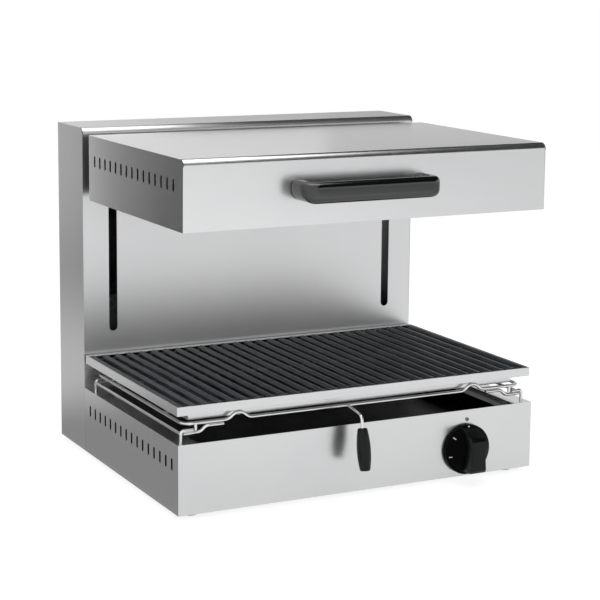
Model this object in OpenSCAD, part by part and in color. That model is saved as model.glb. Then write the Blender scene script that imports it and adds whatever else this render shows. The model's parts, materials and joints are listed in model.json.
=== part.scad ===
/* [Body] */
// Width of the base, the column and the hood
body_w = 600; // [560:10:680]
// Depth of the base, from its front face to the column's face
base_d = 380; // [366:2:420]
// Height of the base, without the feet
base_h = 104; // [101:1:120]
// Depth of the column
column_d = 113; // [110:1:140]
// Height of the column, without the feet
column_h = 521; // [518:1:560]
// Thickness of the stainless sheet
sheet = 1.2; // [1:0.1:1.4]
// Outer radius of the rolled front top edges
edge_r = 10; // [7:0.5:12]
// Height of a foot
foot_h = 8; // [7:0.5:14]
// Diameter of a foot
foot_d = 24; // [20:1:32]
// Distance of a foot's centre from the sides, the front and the back
foot_inset = 30; // [22:1:45]

/* [Vents] */
// Width of a vent slot
vent_w = 6; // [4:0.5:8]
// Height of a vent slot
vent_h = 18; // [14:1:24]
// Distance from one vent slot to the next
vent_pitch = 22; // [18:0.5:22]
// Number of vent slots in each side of the base
base_vents = 16; // [8:1:16]
// Number of vent slots in each side of the hood
hood_vents = 15; // [8:1:15]
// Distance of the first slot of a row from the front edge of its panel
vent_start = 24; // [20:1:30]

/* [Drip tray] */
// Width of the base's inward flange, on each side
flange_w = 32; // [26:1:38]
// Width of the tray's rim, on each side
tray_rim = 20; // [14:1:24]
// Gap between the tray's floor and the control switch under it
tray_clear = 7.5; // [4:0.5:12]
// Drop from the base's top to the tray rail's ledge
tray_drop = 4.5; // [4:0.5:8]
// Gap between the tray and the parts around it
tray_gap = 4; // [2:0.5:6]

/* [Rack] */
// Diameter of the rack's wires
wire_d = 5; // [4:0.5:6]
// Height of the sliding carrier's wires above the base
carrier_rise = 26.2; // [25:0.1:30]
// Distance of the carrier's side wires from the sides
carrier_inset = 14; // [12:0.5:16]
// Distance of the carrier's front wire behind the base's front
carrier_front = 14; // [12:0.5:18]
// Distance of the carrier's back wire in front of the column
carrier_back = 25; // [18:1:30]
// Height of the two humps in the carrier's front wire
hump_rise = 9; // [6:0.5:10]
// Distance of a hump's centre from the side
hump_inset = 101; // [90:1:130]
// Distance of a support leg from the side
leg_inset = 10; // [8:0.5:10]
// Distance that the carrier pulls out
carrier_travel = 150; // [100:5:160]

/* [Grate] */
// Gap between the grate and each side of the body
grate_side = 1; // [0.5:0.5:4]
// Distance of the grate's front behind the base's front
grate_front = 6; // [4:0.5:10]
// Gap between the grate's back and the column
grate_back = 4; // [3:0.5:10]
// Height of the grate's outer band
band_h = 13.5; // [12:0.5:16]
// Distance that the lower wall stands in from the band, at the sides
step_x = 24; // [20:0.5:30]
// Distance that the lower wall stands in from the band, at the front
step_y = 17; // [16:0.5:22]
// Height of the lower wall under the band
lower_h = 11.5; // [10:0.5:13]
// Width of the folded strip along the grate's back
back_strip = 12; // [8:1:16]
// Number of ribs
rib_count = 29; // [21:2:29]
// Width of a rib
rib_w = 10.5; // [8:0.5:12]
// Height of the ribs above the band
rib_proud = 0.8; // [0.4:0.2:2]
// Diameter of the tie rods through the ribs
tie_d = 6; // [4:0.5:6]
// Distance that the grate lifts before it is taken off
grate_lift = 12; // [8:1:14]

/* [Hood] */
// Height of the hood
hood_h = 102; // [100:1:108]
// Distance that the hood stands out in front of the base
hood_overhang = 18; // [10:1:30]
// Gap between the hood and the column
hood_gap = 30; // [24:1:34]
// Drop from the column's top to the raised hood's top
hood_drop = 8.5; // [6:0.5:14]
// Width of the lips around the hood's open underside
lip_w = 14; // [10:1:16]

/* [Heaters] */
// Diameter of a heating tube
heater_d = 8; // [6.5:0.5:9]
// Distance between the two runs of one heating tube
heater_pitch = 54; // [40:1:54]
// Distance from one heating tube to the next
heater_step = 105; // [95:1:105]
// Height of the heating tubes above the hood's underside
heater_rise = 16; // [13:0.5:20]
// Height of the reflector above the hood's underside
reflector_rise = 34; // [30:1:38]
// Distance of the heated opening from each side
heated_side = 64; // [62:1:85]
// Thickness of the insulation
insulation_t = 25; // [15:1:28]

/* [Lift] */
// Distance that the hood travels down
hood_travel = 235; // [180:5:235]
// Distance of a slot's centre from the side
slot_inset = 50; // [48:1:56]
// Width of a slot
slot_w = 14; // [13:0.5:18]
// Height of the slots' lower ends above the base's bottom
slot_bottom = 193; // [188:1:196]
// Width of a lift arm
arm_w = 10; // [8:0.5:11]
// Height of a lift arm
arm_h = 50; // [40:1:50]
// Height of a lift arm's underside above the hood's underside
arm_rise = 21.5; // [19:0.5:24]
// Diameter of a guide rod
rod_d = 16; // [12:1:18]
// Outer diameter of a guide bush
bush_d = 22; // [21:0.5:26]
// Length of a guide bush
bush_h = 24; // [16:1:30]
// Radius of a pulley at the middle of the cable
pulley_r = 11; // [10:0.5:12]
// Diameter of the lift cable
cable_d = 3; // [2:0.5:3]
// Height of the counterweight
weight_h = 110; // [60:5:200]
// Thickness of the counterweight
weight_t = 26; // [18:1:27]

/* [Handles] */
// Sideways place of both handles, from the middle of the body
handle_x = -20.5; // [-40:0.5:40]
// Length of the hood's bow handle
bow_len = 227; // [180:1:240]
// Distance that the bow handle stands out from the hood
bow_proud = 48; // [42:1:56]
// Height of the bow handle's section
bow_h = 31; // [26:1:34]
// Depth of the bow handle's bar
bow_t = 20; // [17:0.5:24]
// Width of the bow handle's legs
bow_leg = 25; // [20:0.5:28]
// Corner radius of the bow handle's section
bow_r = 8; // [5:0.5:8]
// Radius of the bow handle's lower corners, seen from the front
bow_drop_r = 19; // [12:1:22]
// Length of the carrier's grip
grip_len = 63; // [50:1:66]
// Largest diameter of the carrier's grip
grip_d = 21; // [16:0.5:24]

/* [Controls] */
// Distance of the knob's centre from the right side
knob_inset = 120; // [100:1:150]
// Height of the knob's centre above the base's bottom
knob_z = 43; // [43:0.5:46]
// Radius of the knob's skirt
knob_r = 39; // [30:0.5:39]
// Thickness of the knob's skirt
skirt_t = 7; // [5:0.5:9]
// Height of the knob's dome above the skirt
knob_dome = 15; // [10:0.5:20]
// Distance that the knob's grip stands out from the skirt
knob_grip = 31.5; // [26:0.5:36]
// Width of the knob's grip
knob_grip_w = 22.5; // [16:0.5:24]
// Diameter of the switch shaft
shaft_d = 6; // [5:0.5:8]
// Diameter of the pilot lamp's lens
lamp_d = 6; // [5:0.5:8]
// Radius of the mains cable entry
cable_entry_r = 6; // [4:0.5:6.5]
// Length of the mains cable gland outside the cover
gland_out = 20; // [14:1:24]

/* [Hidden] */
$fn = 48;

STEEL = [0.74, 0.75, 0.75];
STEEL_SIDE = [0.62, 0.63, 0.64];
CHROME = [0.80, 0.81, 0.82];
DARK = [0.16, 0.17, 0.18];
BLACK = [0.07, 0.07, 0.08];
ZINC = [0.58, 0.60, 0.62];
CERAMIC = [0.90, 0.88, 0.82];

// Clearances
run_gap = 0.05;     // a shaft that turns or slides in its bore, on the radius
rest_gap = 0.3;     // a loose piece above what carries it
hole_gap = 0.3;     // a fastener or a pin in its hole, on the radius
seam = 0.4;         // the joint line between the base and the column
eps = 0.01;         // overlap of a cut with the face that it opens

// The body
half_w = body_w / 2;
knob_x = half_w - knob_inset;
switch_w = 44;
inner_w = half_w - sheet;
back_y = base_d + column_d;
cover_y = back_y - sheet;
screw_head_h = 2.2;
screw_d = 5;
cover_screw_d = 4;
cover_screw_end = 24;

// The drip tray and its rails
flange_x = half_w - flange_w;
ledge_z = base_h - tray_drop;
ledge_w = tray_rim - 2;
rail_x = flange_x;
rail_end = 20;
rail_flange = 22;
rail_stop = 12;
tray_x = rail_x - tray_gap;
tray_in_x = tray_x - tray_rim;
tray_floor_z = knob_z + switch_w / 2 + tray_clear;
tray_front = 2 * tray_gap;
tray_back = base_d - 2 * tray_gap;
tray_sheet = 1;

// The rack: heights are those of the wires' centres
carrier_z = base_h + carrier_rise;
carrier_x = half_w - carrier_inset;
carrier_back_y = base_d - carrier_back;
arm_top_z = carrier_z - wire_d - rest_gap;
arm_low_z = arm_top_z - 8.4;
arm_bend_z = arm_low_z + wire_d - 0.6;
runner_z = arm_low_z + 0.4;
leg_x = half_w - leg_inset;
leg_foot_z = base_h - 6;
ramp_w = 19;
weld = 0.4;
weld_d = wire_d + 0.06;
leg_front = carrier_front;
leg_back_y = carrier_back_y;
peg_x = half_w - 33;
peg_z = arm_low_z + wire_d / 2 + 0.8;
support_z = base_h;

// The grate
grate_x = half_w - grate_side;
lower_z = carrier_z + wire_d / 2 + rest_gap;
band_z = lower_z + lower_h;
grate_top = band_z + band_h;
grate_back_y = base_d - grate_back;
grate_sheet = 1.5;
lower_x = grate_x - step_x;
lower_front = grate_front + step_y;
lower_back = grate_back_y - step_y;
rib_front = grate_front + grate_sheet + 0.5;
rib_back = grate_back_y - back_strip;
rib_span = 2 * (grate_x - grate_sheet - rest_gap) - rib_w;
rib_pitch = rib_span / (rib_count - 1);
rib_z = band_z + grate_sheet;
rib_top = grate_top + rib_proud;
tie_z = rib_z + 6;
tie_ys = [rib_front + 22, rib_front + (rib_back - rib_front) / 2, rib_back - 8];

// The raised hood
hood_z = column_h - hood_drop - hood_h;
hood_top = hood_z + hood_h;
hood_front = -hood_overhang;
hood_back = base_d - hood_gap;
vent_z = 0.62;
reflector_z = hood_z + reflector_rise;
reflector_sheet = 1;
heated_gap = 8;
heated_rear = 20;
heated_front = hood_front + lip_w + heated_gap;
heated_back = hood_back - heated_rear;
heated_x = half_w - heated_side;
heater_z = hood_z + heater_rise;
heater_inset = 21;
heater_x = heated_x - heater_inset;
heater_mid = (heated_front + heated_back) / 2;
insulation_z = reflector_z + reflector_sheet;
terminal_z = insulation_z + insulation_t;

// The lift
slot_x = half_w - slot_inset;
arm_z = hood_z + arm_rise;
arm_wall = 1.5;
arm_start = 120;
arm_front = hood_front + arm_start;
arm_pad = 30;
arm_pad_front = 10;
arm_pad_back = 50;
slot_top = arm_z + arm_h + 10;
rod_back = 50;
rod_y = base_d + rod_back;
carriage_d = 44;
carriage_front = rod_y - carriage_d / 2;
carriage_back = rod_y + carriage_d / 2;
carriage_w = 44;
carriage_drop = 20;
carriage_z = arm_z - carriage_drop;
carriage_top = arm_z + arm_h;
foot_plate_t = 6;
foot_plate_w = 40;
plate_t = 3;
beam_drop = 5;
beam_z = column_h - beam_drop;
beam_gap = 16;
beam_front = base_d + beam_gap;
beam_back = cover_y - 2;
beam_lip = 20;
lower_beam_drop = 53;
lower_beam_z = slot_bottom - lower_beam_drop;
lower_lip = 22;
collar_h = 8;
collar_t = 6;
lower_beam_back = carriage_back;
cable_inset = 4;
cable_front_y = carriage_back - cable_inset;
pulley_y = cable_front_y + pulley_r;
cable_back_y = pulley_y + pulley_r;
pulley_w = 10;
pulley_rim_r = pulley_r + cable_d / 2 + 1.5;
pulley_clear = 1.5;
pulley_z = carriage_top + pulley_rim_r + pulley_clear;
pulley_groove_r = pulley_r - cable_d / 2 - run_gap;
pin_d = 6;
weight_y = cable_back_y - weight_t / 2;
weight_out = 12;
weight_x = slot_x + weight_out;
bracket_r = 10;
guide_clear = 16.5;
guide_top = pulley_z - bracket_r - guide_clear;
weight_clear = 4;
weight_top = guide_top - weight_clear - hood_travel;
weight_z = weight_top - weight_h;
cable_end = 12;
cable_hole_d = cable_d + 2 * hole_gap;
guide_wall = 2;
guide_grip = 8;

// The handles
bow_x = bow_len / 2;
bow_front = hood_front - bow_proud;
bow_rise = 51;
bow_z = hood_z + bow_rise;
bow_screw_x = bow_x - bow_leg / 2;
bow_screw_in = 16;
bow_screw_head = 9;
bow_inner_r = 1;
bow_turn = bow_t + bow_inner_r;
grip_tilt = 9.5;
grip_way = [-sin(grip_tilt), -cos(grip_tilt)];
handle_corner = [-30, carrier_z - 6.7];
grip_start = handle_corner + (handle_corner[1] - base_h - 2) / cos(grip_tilt) * grip_way;

// The controls
panel_hole_d = shaft_d + 4;
switch_d = 38;
switch_ear = 6;
switch_ear_h = 24;
nut_w = 6;
nut_h = 2;
shaft_in = 21;
shaft_out = 17;
lamp_x = knob_x + 2;
lamp_z = knob_z + knob_r + (base_h - knob_z - knob_r) * 7 / 22;
lamp_back = 4;
gland_inset = 100;
gland_x = -half_w + gland_inset;
gland_z = 45;
gland_r = 10;
gland_end = back_y + gland_out;

// The origin lies under the middle of the whole outline, on the floor
origin_y = (bow_front + gland_end) / 2;

// Route of the moving lead: out of the left lift arm and down inside the column
lead_d = 7;
lead_x = -slot_x + 60;
lead_y = base_d + 12;
lead_room = 20;
lead_turn_z = 60;
lead_end_z = 16;
block_w = 60;
block_d = 22;
block_h = 22;
block_x = lead_x + 40;
block_y = rod_y - block_d / 2;
lead_route = [
    [-slot_x + arm_w / 2, lead_y, arm_z + arm_h / 2], [lead_x, lead_y, arm_z + arm_h / 2],
    [lead_x, lead_y, lead_turn_z], [lead_x, rod_y, lead_turn_z],
    [lead_x, rod_y, lead_end_z], [block_x, rod_y, lead_end_z]];
wiring_d = 6;
wiring_in = 8;
wiring_y = 90;
wiring_z = 14;
wiring_hole = [knob_x - 60, 30];

// Helpers
function unit(v) = v / norm(v);
function any_normal(d) = abs(d[2]) < 0.9 ? unit(cross(d, [0, 0, 1])) : unit(cross(d, [1, 0, 0]));

module placed() {
    translate([0, -origin_y, foot_h]) children();
}

module both_sides() {
    for (side = [-1, 1]) scale([side, 1, 1]) children();
}

module on_side(side) {
    if (side < 0) mirror([1, 0, 0]) children();
    else children();
}

// A box from its low and high corners
module block(low, high) {
    translate(low) cube(high - low);
}

// A straight round bar between two points
module bar(p, q, d) {
    dir = unit(q - p);
    x = any_normal(dir);
    y = cross(dir, x);
    multmatrix([
        [x[0], y[0], dir[0], p[0]],
        [x[1], y[1], dir[1], p[1]],
        [x[2], y[2], dir[2], p[2]],
        [0, 0, 0, 1]]) cylinder(d = d, h = norm(q - p));
}

// A wire through a list of points, with a ball at each corner
module wire(points, d) {
    for (i = [0 : len(points) - 2]) bar(points[i], points[i + 1], d);
    for (i = [1 : 1 : len(points) - 2]) translate(points[i]) sphere(d = d);
}

// A round arc about o in the plane of X and Z, from one angle on, counted from +X
module arc_xz(o, r, from, sweep, d) {
    translate(o) rotate([90, 0, 0]) rotate([0, 0, from]) rotate_extrude(angle = sweep)
        translate([r, 0]) circle(d = d);
}

// The same in the plane of Y and Z, counted from +Y
module arc_yz(o, r, from, sweep, d) {
    translate(o) rotate([90, 0, 90]) rotate([0, 0, from]) rotate_extrude(angle = sweep)
        translate([r, 0]) circle(d = d);
}

// The same in the plane of X and Y, counted from +X
module arc_xy(o, r, from, sweep, d) {
    translate(o) rotate([0, 0, from]) rotate_extrude(angle = sweep) translate([r, 0]) circle(d = d);
}

// A cylinder along Y from y0 to y1
module y_cylinder(x, z, d, y0, y1) {
    translate([x, y0, z]) rotate([-90, 0, 0]) cylinder(d = d, h = y1 - y0);
}

// A cylinder along X from x0 to x1
module x_cylinder(y, z, d, x0, x1) {
    translate([x0, y, z]) rotate([0, 90, 0]) cylinder(d = d, h = x1 - x0);
}

// An outline in (y, z), drawn as (x, y), extruded along X from x0 to x1
module extrude_x(x0, x1) {
    translate([x0, 0, 0]) rotate([90, 0, 90]) linear_extrude(x1 - x0) children();
}

// A panel outline in (y, z) whose front top corner is round
module rounded_side(front, back, bottom, top, r) {
    translate([front, bottom]) square([back - front, top - bottom - r]);
    translate([front + r, bottom]) square([back - front - r, top - bottom]);
    translate([front + r, top - r]) circle(r = r);
}

// The sheet that follows such an outline up the front and over the top
module rolled_sheet(front, back, bottom, top, r, t) {
    difference() {
        rounded_side(front, back, bottom, top, r);
        translate([0, 0]) rounded_side(front + t, back + t, bottom - t, top - t, r - t);
    }
}

// Upright slots with round ends, cut through a side panel
module side_vents(count, first_y, z) {
    for (i = [0 : count - 1])
        translate([inner_w - 1, first_y + i * vent_pitch, z]) rotate([0, 90, 0])
            linear_extrude(sheet + 2) round_slot(vent_h, vent_w);
}

// A slot outline with round ends, lengthways along x
module round_slot(length, width) {
    square([length - width, width], center = true);
    for (end = [-1, 1]) translate([end * (length - width) / 2, 0]) circle(d = width);
}

// A rectangle outline with round corners
module round_rect(w, h, r) {
    square([w - 2 * r, h], center = true);
    square([w, h - 2 * r], center = true);
    for (x = [-1, 1], y = [-1, 1]) translate([x * (w / 2 - r), y * (h / 2 - r)]) circle(r = r);
}

module at_feet() {
    for (x = [-half_w + foot_inset, half_w - foot_inset], y = [foot_inset, back_y - foot_inset])
        translate([x, y, 0]) children();
}

// Base
module base_shell() color(STEEL) placed() difference() {
    union() {
        block([-half_w, 0, 0], [half_w, sheet, base_h]);
        both_sides() {
            block([inner_w, 0, 0], [half_w, base_d - seam, base_h]);
            block([flange_x, sheet - eps, base_h - sheet], [half_w, base_d - seam, base_h]);
        }
    }
    both_sides() {
        side_vents(base_vents, vent_start, base_h - 33);
        for (y = [leg_front, leg_back_y])
            translate([leg_x, y, base_h - sheet - 1]) cylinder(d = wire_d + 2 * hole_gap, h = sheet + 2);
    }
    y_cylinder(knob_x, knob_z, panel_hole_d, -1, sheet + 1);
    y_cylinder(lamp_x, lamp_z, lamp_d, -1, sheet + 1);
}

module bottom_plate() color(ZINC) placed() difference() {
    block([-inner_w, sheet, 0], [inner_w, cover_y, sheet]);
    at_feet() translate([0, 0, -1]) cylinder(d = screw_d + 2 * hole_gap, h = sheet + 2);
    for (x = [-150 : 30 : 150], y = [110, 230])
        translate([x, y, -1]) linear_extrude(sheet + 2) rotate(90) round_slot(60, 5);
}

module tray_rail() placed() {
    block([rail_x, rail_end, base_h - 2 * sheet], [rail_x + rail_flange, leg_back_y - rail_stop, base_h - sheet]);
    block([rail_x, rail_end, ledge_z - sheet], [rail_x + sheet, leg_back_y - rail_stop, base_h - sheet]);
    block([rail_x - ledge_w, rail_end, ledge_z - sheet],
        [rail_x + sheet, leg_back_y - rail_stop, ledge_z]);
}

module tray_rail_left() color(ZINC) on_side(-1) tray_rail();

module tray_rail_right() color(ZINC) on_side(1) tray_rail();

module drip_tray() color(DARK) placed() {
    difference() {
        block([-tray_in_x, tray_front, tray_floor_z], [tray_in_x, tray_back, ledge_z]);
        block([-tray_in_x + tray_sheet, tray_front + tray_sheet, tray_floor_z + tray_sheet],
            [tray_in_x - tray_sheet, tray_back - tray_sheet, ledge_z + 1]);
    }
    both_sides() block([tray_in_x - tray_sheet, tray_front, ledge_z],
        [tray_x, tray_back, ledge_z + tray_sheet]);
}

module foot() {
    difference() {
        rotate_extrude() {
            translate([0, -foot_h]) square([foot_d / 2 - 2, foot_h]);
            translate([0, -foot_h + 2]) square([foot_d / 2, foot_h - 2]);
            translate([foot_d / 2 - 2, -foot_h + 2]) circle(r = 2);
        }
        translate([0, 0, -foot_h - 1]) cylinder(d = 10, h = 5);
        translate([0, 0, -foot_h - 1]) cylinder(d = screw_d + 2 * hole_gap, h = foot_h + 2);
    }
}

module feet() color([0.75, 0.75, 0.75]) placed() at_feet() foot();

module foot_screws() color(ZINC) placed() at_feet() {
    translate([0, 0, -foot_h + 1]) cylinder(d = 9, h = 3);
    translate([0, 0, -foot_h + 1]) cylinder(d = screw_d, h = foot_h + 6);
    translate([0, 0, sheet]) cylinder(d = 9.5, h = 4, $fn = 6);
}

// Column
module column_wrap() color(STEEL) placed() difference() {
    extrude_x(-inner_w, inner_w) rolled_sheet(base_d, back_y, sheet, column_h, edge_r, sheet);
    for (x = [-slot_x, slot_x])
        translate([x, base_d + sheet + 1, (slot_bottom + slot_top) / 2]) rotate([90, 90, 0])
            linear_extrude(sheet + 2) round_slot(slot_top - slot_bottom, slot_w);
    y_cylinder(wiring_hole[0], wiring_hole[1], 24, base_d - 1, base_d + sheet + 1);
}

module column_side() placed() {
    extrude_x(inner_w, half_w) rounded_side(base_d, back_y, 0, column_h, edge_r);
    difference() {
        block([inner_w - 16, cover_y - sheet, sheet], [inner_w + eps, cover_y, column_h - sheet]);
        for (p = cover_screw_places())
            y_cylinder(abs(p[0]), p[1], cover_screw_d + 2 * run_gap, cover_y - 3, cover_y + 1);
    }
}

module column_side_left() color(STEEL_SIDE) on_side(-1) column_side();

module column_side_right() color(STEEL_SIDE) on_side(1) column_side();

function cover_screw_places() = [for (x = [-inner_w + 8, inner_w - 8],
    z = [cover_screw_end, column_h * 0.35, column_h * 0.67, column_h - cover_screw_end]) [x, z]];

module rear_cover() color(STEEL) placed() difference() {
    block([-inner_w, cover_y, 0], [inner_w, back_y, column_h - sheet]);
    for (p = cover_screw_places())
        y_cylinder(p[0], p[1], cover_screw_d + 2 * hole_gap, cover_y - 1, back_y + 1);
    for (x = [-140 : 40 : 140], z = [75, column_h - 70])
        translate([x, back_y + 1, z]) rotate([90, 90, 0]) linear_extrude(sheet + 2) round_slot(50, 6);
    y_cylinder(gland_x, gland_z, 2 * gland_r + 2 * hole_gap, cover_y - 1, back_y + 1);
}

module cover_screws() color(ZINC) placed() for (p = cover_screw_places()) difference() {
    union() {
        y_cylinder(p[0], p[1], 7.5, back_y, back_y + screw_head_h);
        y_cylinder(p[0], p[1], cover_screw_d, cover_y - sheet, back_y + eps);
    }
    block([p[0] - 3, back_y + screw_head_h - 1, p[1] - 0.5], [p[0] + 3, back_y + 4, p[1] + 0.5]);
}

// Lift, fixed pieces
module guide_rod() {
    translate([slot_x, rod_y, lower_beam_z]) cylinder(d = rod_d, h = beam_z + plate_t - lower_beam_z);
}

module guide_rod_left() color(CHROME) placed() on_side(-1) guide_rod();

module guide_rod_right() color(CHROME) placed() on_side(1) guide_rod();

module rod_collars() color(ZINC) placed() both_sides()
    for (z = [lower_beam_z + plate_t, beam_z - collar_h])
        translate([slot_x, rod_y, z]) difference() {
            cylinder(d = rod_d + 2 * collar_t, h = collar_h);
            translate([0, 0, -1]) cylinder(d = rod_d + 2 * run_gap, h = collar_h + 2);
        }

module lower_bracket() color(ZINC) placed() difference() {
    union() {
        block([-inner_w, beam_front, lower_beam_z], [inner_w, lower_beam_back, lower_beam_z + plate_t]);
        block([-inner_w, beam_front, lower_beam_z - lower_lip],
            [inner_w, beam_front + plate_t, lower_beam_z + eps]);
        both_sides() block([inner_w - plate_t, beam_front, lower_beam_z - lower_lip],
            [inner_w, lower_beam_back, lower_beam_z + eps]);
    }
    both_sides() translate([slot_x, rod_y, lower_beam_z - 1])
        cylinder(d = rod_d + 2 * run_gap, h = plate_t + 2);
    block([lead_x - lead_room, beam_front - 1, lower_beam_z - lower_lip - 8],
        [lead_x + lead_room, lead_y + lead_room + 2, lower_beam_z + plate_t + 1]);
}

module top_crossbeam() color(ZINC) placed() difference() {
    union() {
        block([-inner_w, beam_front, beam_z], [inner_w, beam_back, beam_z + plate_t]);
        both_sides() block([inner_w - plate_t, beam_front, beam_z - beam_lip],
            [inner_w, beam_back - 4, beam_z + eps]);
    }
    both_sides() translate([slot_x, rod_y, beam_z - 1])
        cylinder(d = rod_d + 2 * run_gap, h = plate_t + 2);
}

module pulley_brackets() color(ZINC) placed() both_sides() {
    for (x = [slot_x - pulley_w / 2 - 3.5, slot_x + pulley_w / 2 + 1])
        block([x, pulley_y - bracket_r, pulley_z - bracket_r],
            [x + 2.5, pulley_y + bracket_r, beam_z - plate_t + eps]);
    block([slot_x - pulley_w / 2 - 3.5, pulley_y - bracket_r, beam_z - plate_t],
        [slot_x + pulley_w / 2 + 3.5, pulley_y + bracket_r, beam_z]);
    x_cylinder(pulley_y, pulley_z, pin_d, slot_x - pulley_w / 2 - 6, slot_x + pulley_w / 2 + 6);
}

module front_cables() color(CHROME) placed() both_sides()
    bar([slot_x, cable_front_y, carriage_top - cable_end], [slot_x, cable_front_y, pulley_z], cable_d);

module pulley_cables() color(CHROME) placed() both_sides()
    translate([slot_x, pulley_y, pulley_z]) rotate([0, 90, 0]) intersection() {
        rotate_extrude() translate([pulley_r, 0]) circle(d = cable_d);
        translate([-2 * pulley_r, -2 * pulley_r, -cable_d]) cube([2 * pulley_r, 4 * pulley_r, 2 * cable_d]);
    }

module rear_cables() color(CHROME) placed() both_sides()
    bar([slot_x, cable_back_y, weight_top - cable_end], [slot_x, cable_back_y, pulley_z], cable_d);

module weight_guides() color(ZINC) placed() both_sides() {
    block([weight_x + 1, weight_y - 1 - guide_wall, sheet],
        [weight_x + 1 + guide_wall, weight_y + weight_t + 1 + guide_wall, guide_top]);
    for (y = [weight_y - 1 - guide_wall, weight_y + weight_t + 1])
        block([weight_x - guide_grip, y, sheet], [weight_x + 1 + guide_wall, y + guide_wall, guide_top]);
}

// Wire supports that stand in the base's flanges
module support_arm(y) {
    turn = 5;
    ramp_h = arm_top_z - arm_low_z;
    ramp_a = 2 * atan(ramp_h / ramp_w);
    ramp_r = ramp_w / 2 / sin(ramp_a);
    ramp_x = leg_x - 25;
    bar([leg_x, y, leg_foot_z], [leg_x, y, arm_bend_z - turn], wire_d);
    arc_xz([leg_x - turn, y, arm_bend_z - turn], turn, 0, 90, wire_d);
    bar([leg_x - 19, y, arm_bend_z], [leg_x - turn, y, arm_bend_z], wire_d);
    bar([ramp_x - weld, y, arm_low_z], [leg_x - 4, y, arm_low_z], wire_d);
    arc_xz([ramp_x, y, arm_low_z + ramp_r], ramp_r, 270 - ramp_a, ramp_a, weld_d);
    arc_xz([ramp_x - ramp_w, y, arm_top_z - ramp_r], ramp_r, 90 - ramp_a - 1.5, ramp_a + 3, wire_d);
    bar([leg_x - 67, y, arm_top_z], [ramp_x - ramp_w, y, arm_top_z], weld_d);
}

module rack_support() {
    support_arm(leg_front);
    support_arm(leg_back_y);
    bar([leg_x, leg_front, runner_z], [leg_x, leg_back_y, runner_z], wire_d - 0.4);
}

module rack_support_left() color(CHROME) placed() on_side(-1) rack_support();

module rack_support_right() color(CHROME) placed() on_side(1) rack_support();

// Controls
module control_switch() color(DARK) placed() difference() {
    union() {
        block([knob_x - switch_w / 2, sheet + 3, knob_z - switch_w / 2],
            [knob_x + switch_w / 2, sheet + 3 + switch_d, knob_z + switch_w / 2]);
        block([knob_x - switch_w / 2 - switch_ear, sheet, knob_z - switch_ear_h / 2],
            [knob_x + switch_w / 2 + switch_ear, sheet + 3 + eps, knob_z + switch_ear_h / 2]);
        y_cylinder(knob_x, knob_z, panel_hole_d - 2 * hole_gap, -2.5, sheet + eps);
        translate([knob_x, -nut_h, knob_z]) rotate([-90, 0, 0])
            cylinder(d = panel_hole_d + nut_w, h = nut_h, $fn = 6);
    }
    y_cylinder(knob_x, knob_z, shaft_d + 2 * run_gap, -4, sheet + shaft_in + 1);
}

module pilot_lamp() color([0.45, 0.42, 0.40]) placed()
    translate([lamp_x, 0, lamp_z]) rotate([-90, 0, 0]) {
        translate([0, 0, -1]) cylinder(d = lamp_d - 2 * run_gap, h = sheet + 2);
        translate([0, 0, sheet]) cylinder(d = lamp_d + 3, h = lamp_back);
    }

module terminal_block() color(CERAMIC) placed() difference() {
    block([block_x, block_y, sheet], [block_x + block_w, block_y + block_d, sheet + block_h]);
    for (i = [0 : 4]) translate([block_x + 6 + 12 * i, block_y + block_d / 2, sheet + 8])
        cylinder(d = 5, h = block_h);
}

module cable_gland() color(DARK) placed() difference() {
    union() {
        y_cylinder(gland_x, gland_z, 2 * gland_r, cover_y - 8, back_y + 1);
        translate([gland_x, back_y, gland_z]) rotate([-90, 0, 0]) cylinder(r = gland_r + 4, h = 5, $fn = 6);
        y_cylinder(gland_x, gland_z, 2 * gland_r + 2, back_y + 5 - eps, gland_end - 3);
        y_cylinder(gland_x, gland_z, 2 * gland_r - 3, gland_end - 3 - eps, gland_end);
        translate([gland_x, cover_y - 5, gland_z]) rotate([-90, 0, 0])
            cylinder(r = gland_r + 4, h = 5, $fn = 6);
    }
    y_cylinder(gland_x, gland_z, 2 * cable_entry_r, cover_y - 9, gland_end + 1);
}

module base_wiring() color([0.35, 0.12, 0.10]) placed() wire([
    [block_x + block_w, rod_y, wiring_z], [wiring_hole[0], rod_y, wiring_z],
    [wiring_hole[0], rod_y, wiring_hole[1]], [wiring_hole[0], wiring_y, wiring_hole[1]],
    [knob_x - wiring_in, wiring_y, wiring_hole[1]],
    [knob_x - wiring_in, sheet + 3 + switch_d, wiring_hole[1]]], wiring_d);

module flex_lead() color([0.55, 0.55, 0.55]) placed() wire(lead_route, lead_d);

// Hood
module hood_shell() color(STEEL) placed() difference() {
    union() {
        extrude_x(-inner_w, inner_w) rolled_sheet(hood_front, hood_back, hood_z, hood_top, edge_r, sheet);
        block([-inner_w, hood_front + eps, hood_z], [inner_w, hood_front + lip_w, hood_z + sheet]);
    }
    for (x = [-bow_screw_x, bow_screw_x])
        y_cylinder(handle_x + x, bow_z, screw_d + 2 * hole_gap, hood_front - 1, hood_front + sheet + 1);
}

module hood_side() placed() difference() {
    union() {
        extrude_x(inner_w, half_w) rounded_side(hood_front, hood_back, hood_z, hood_top, edge_r);
        block([half_w - lip_w, hood_front + lip_w, hood_z], [inner_w + eps, hood_back, hood_z + sheet]);
    }
    side_vents(hood_vents, hood_front + vent_start + 10, hood_z + vent_z * hood_h);
}

module hood_side_left() color(STEEL_SIDE) on_side(-1) hood_side();

module hood_side_right() color(STEEL_SIDE) on_side(1) hood_side();

module hood_back_panel() color(DARK) placed() difference() {
    block([-inner_w, hood_back - sheet, hood_z + sheet], [inner_w, hood_back, hood_top - sheet]);
    both_sides() block([slot_x - arm_w / 2 - hole_gap, hood_back - sheet - 1, arm_z - hole_gap],
        [slot_x + arm_w / 2 + hole_gap, hood_back + 1, arm_z + arm_h + hole_gap]);
}

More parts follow.
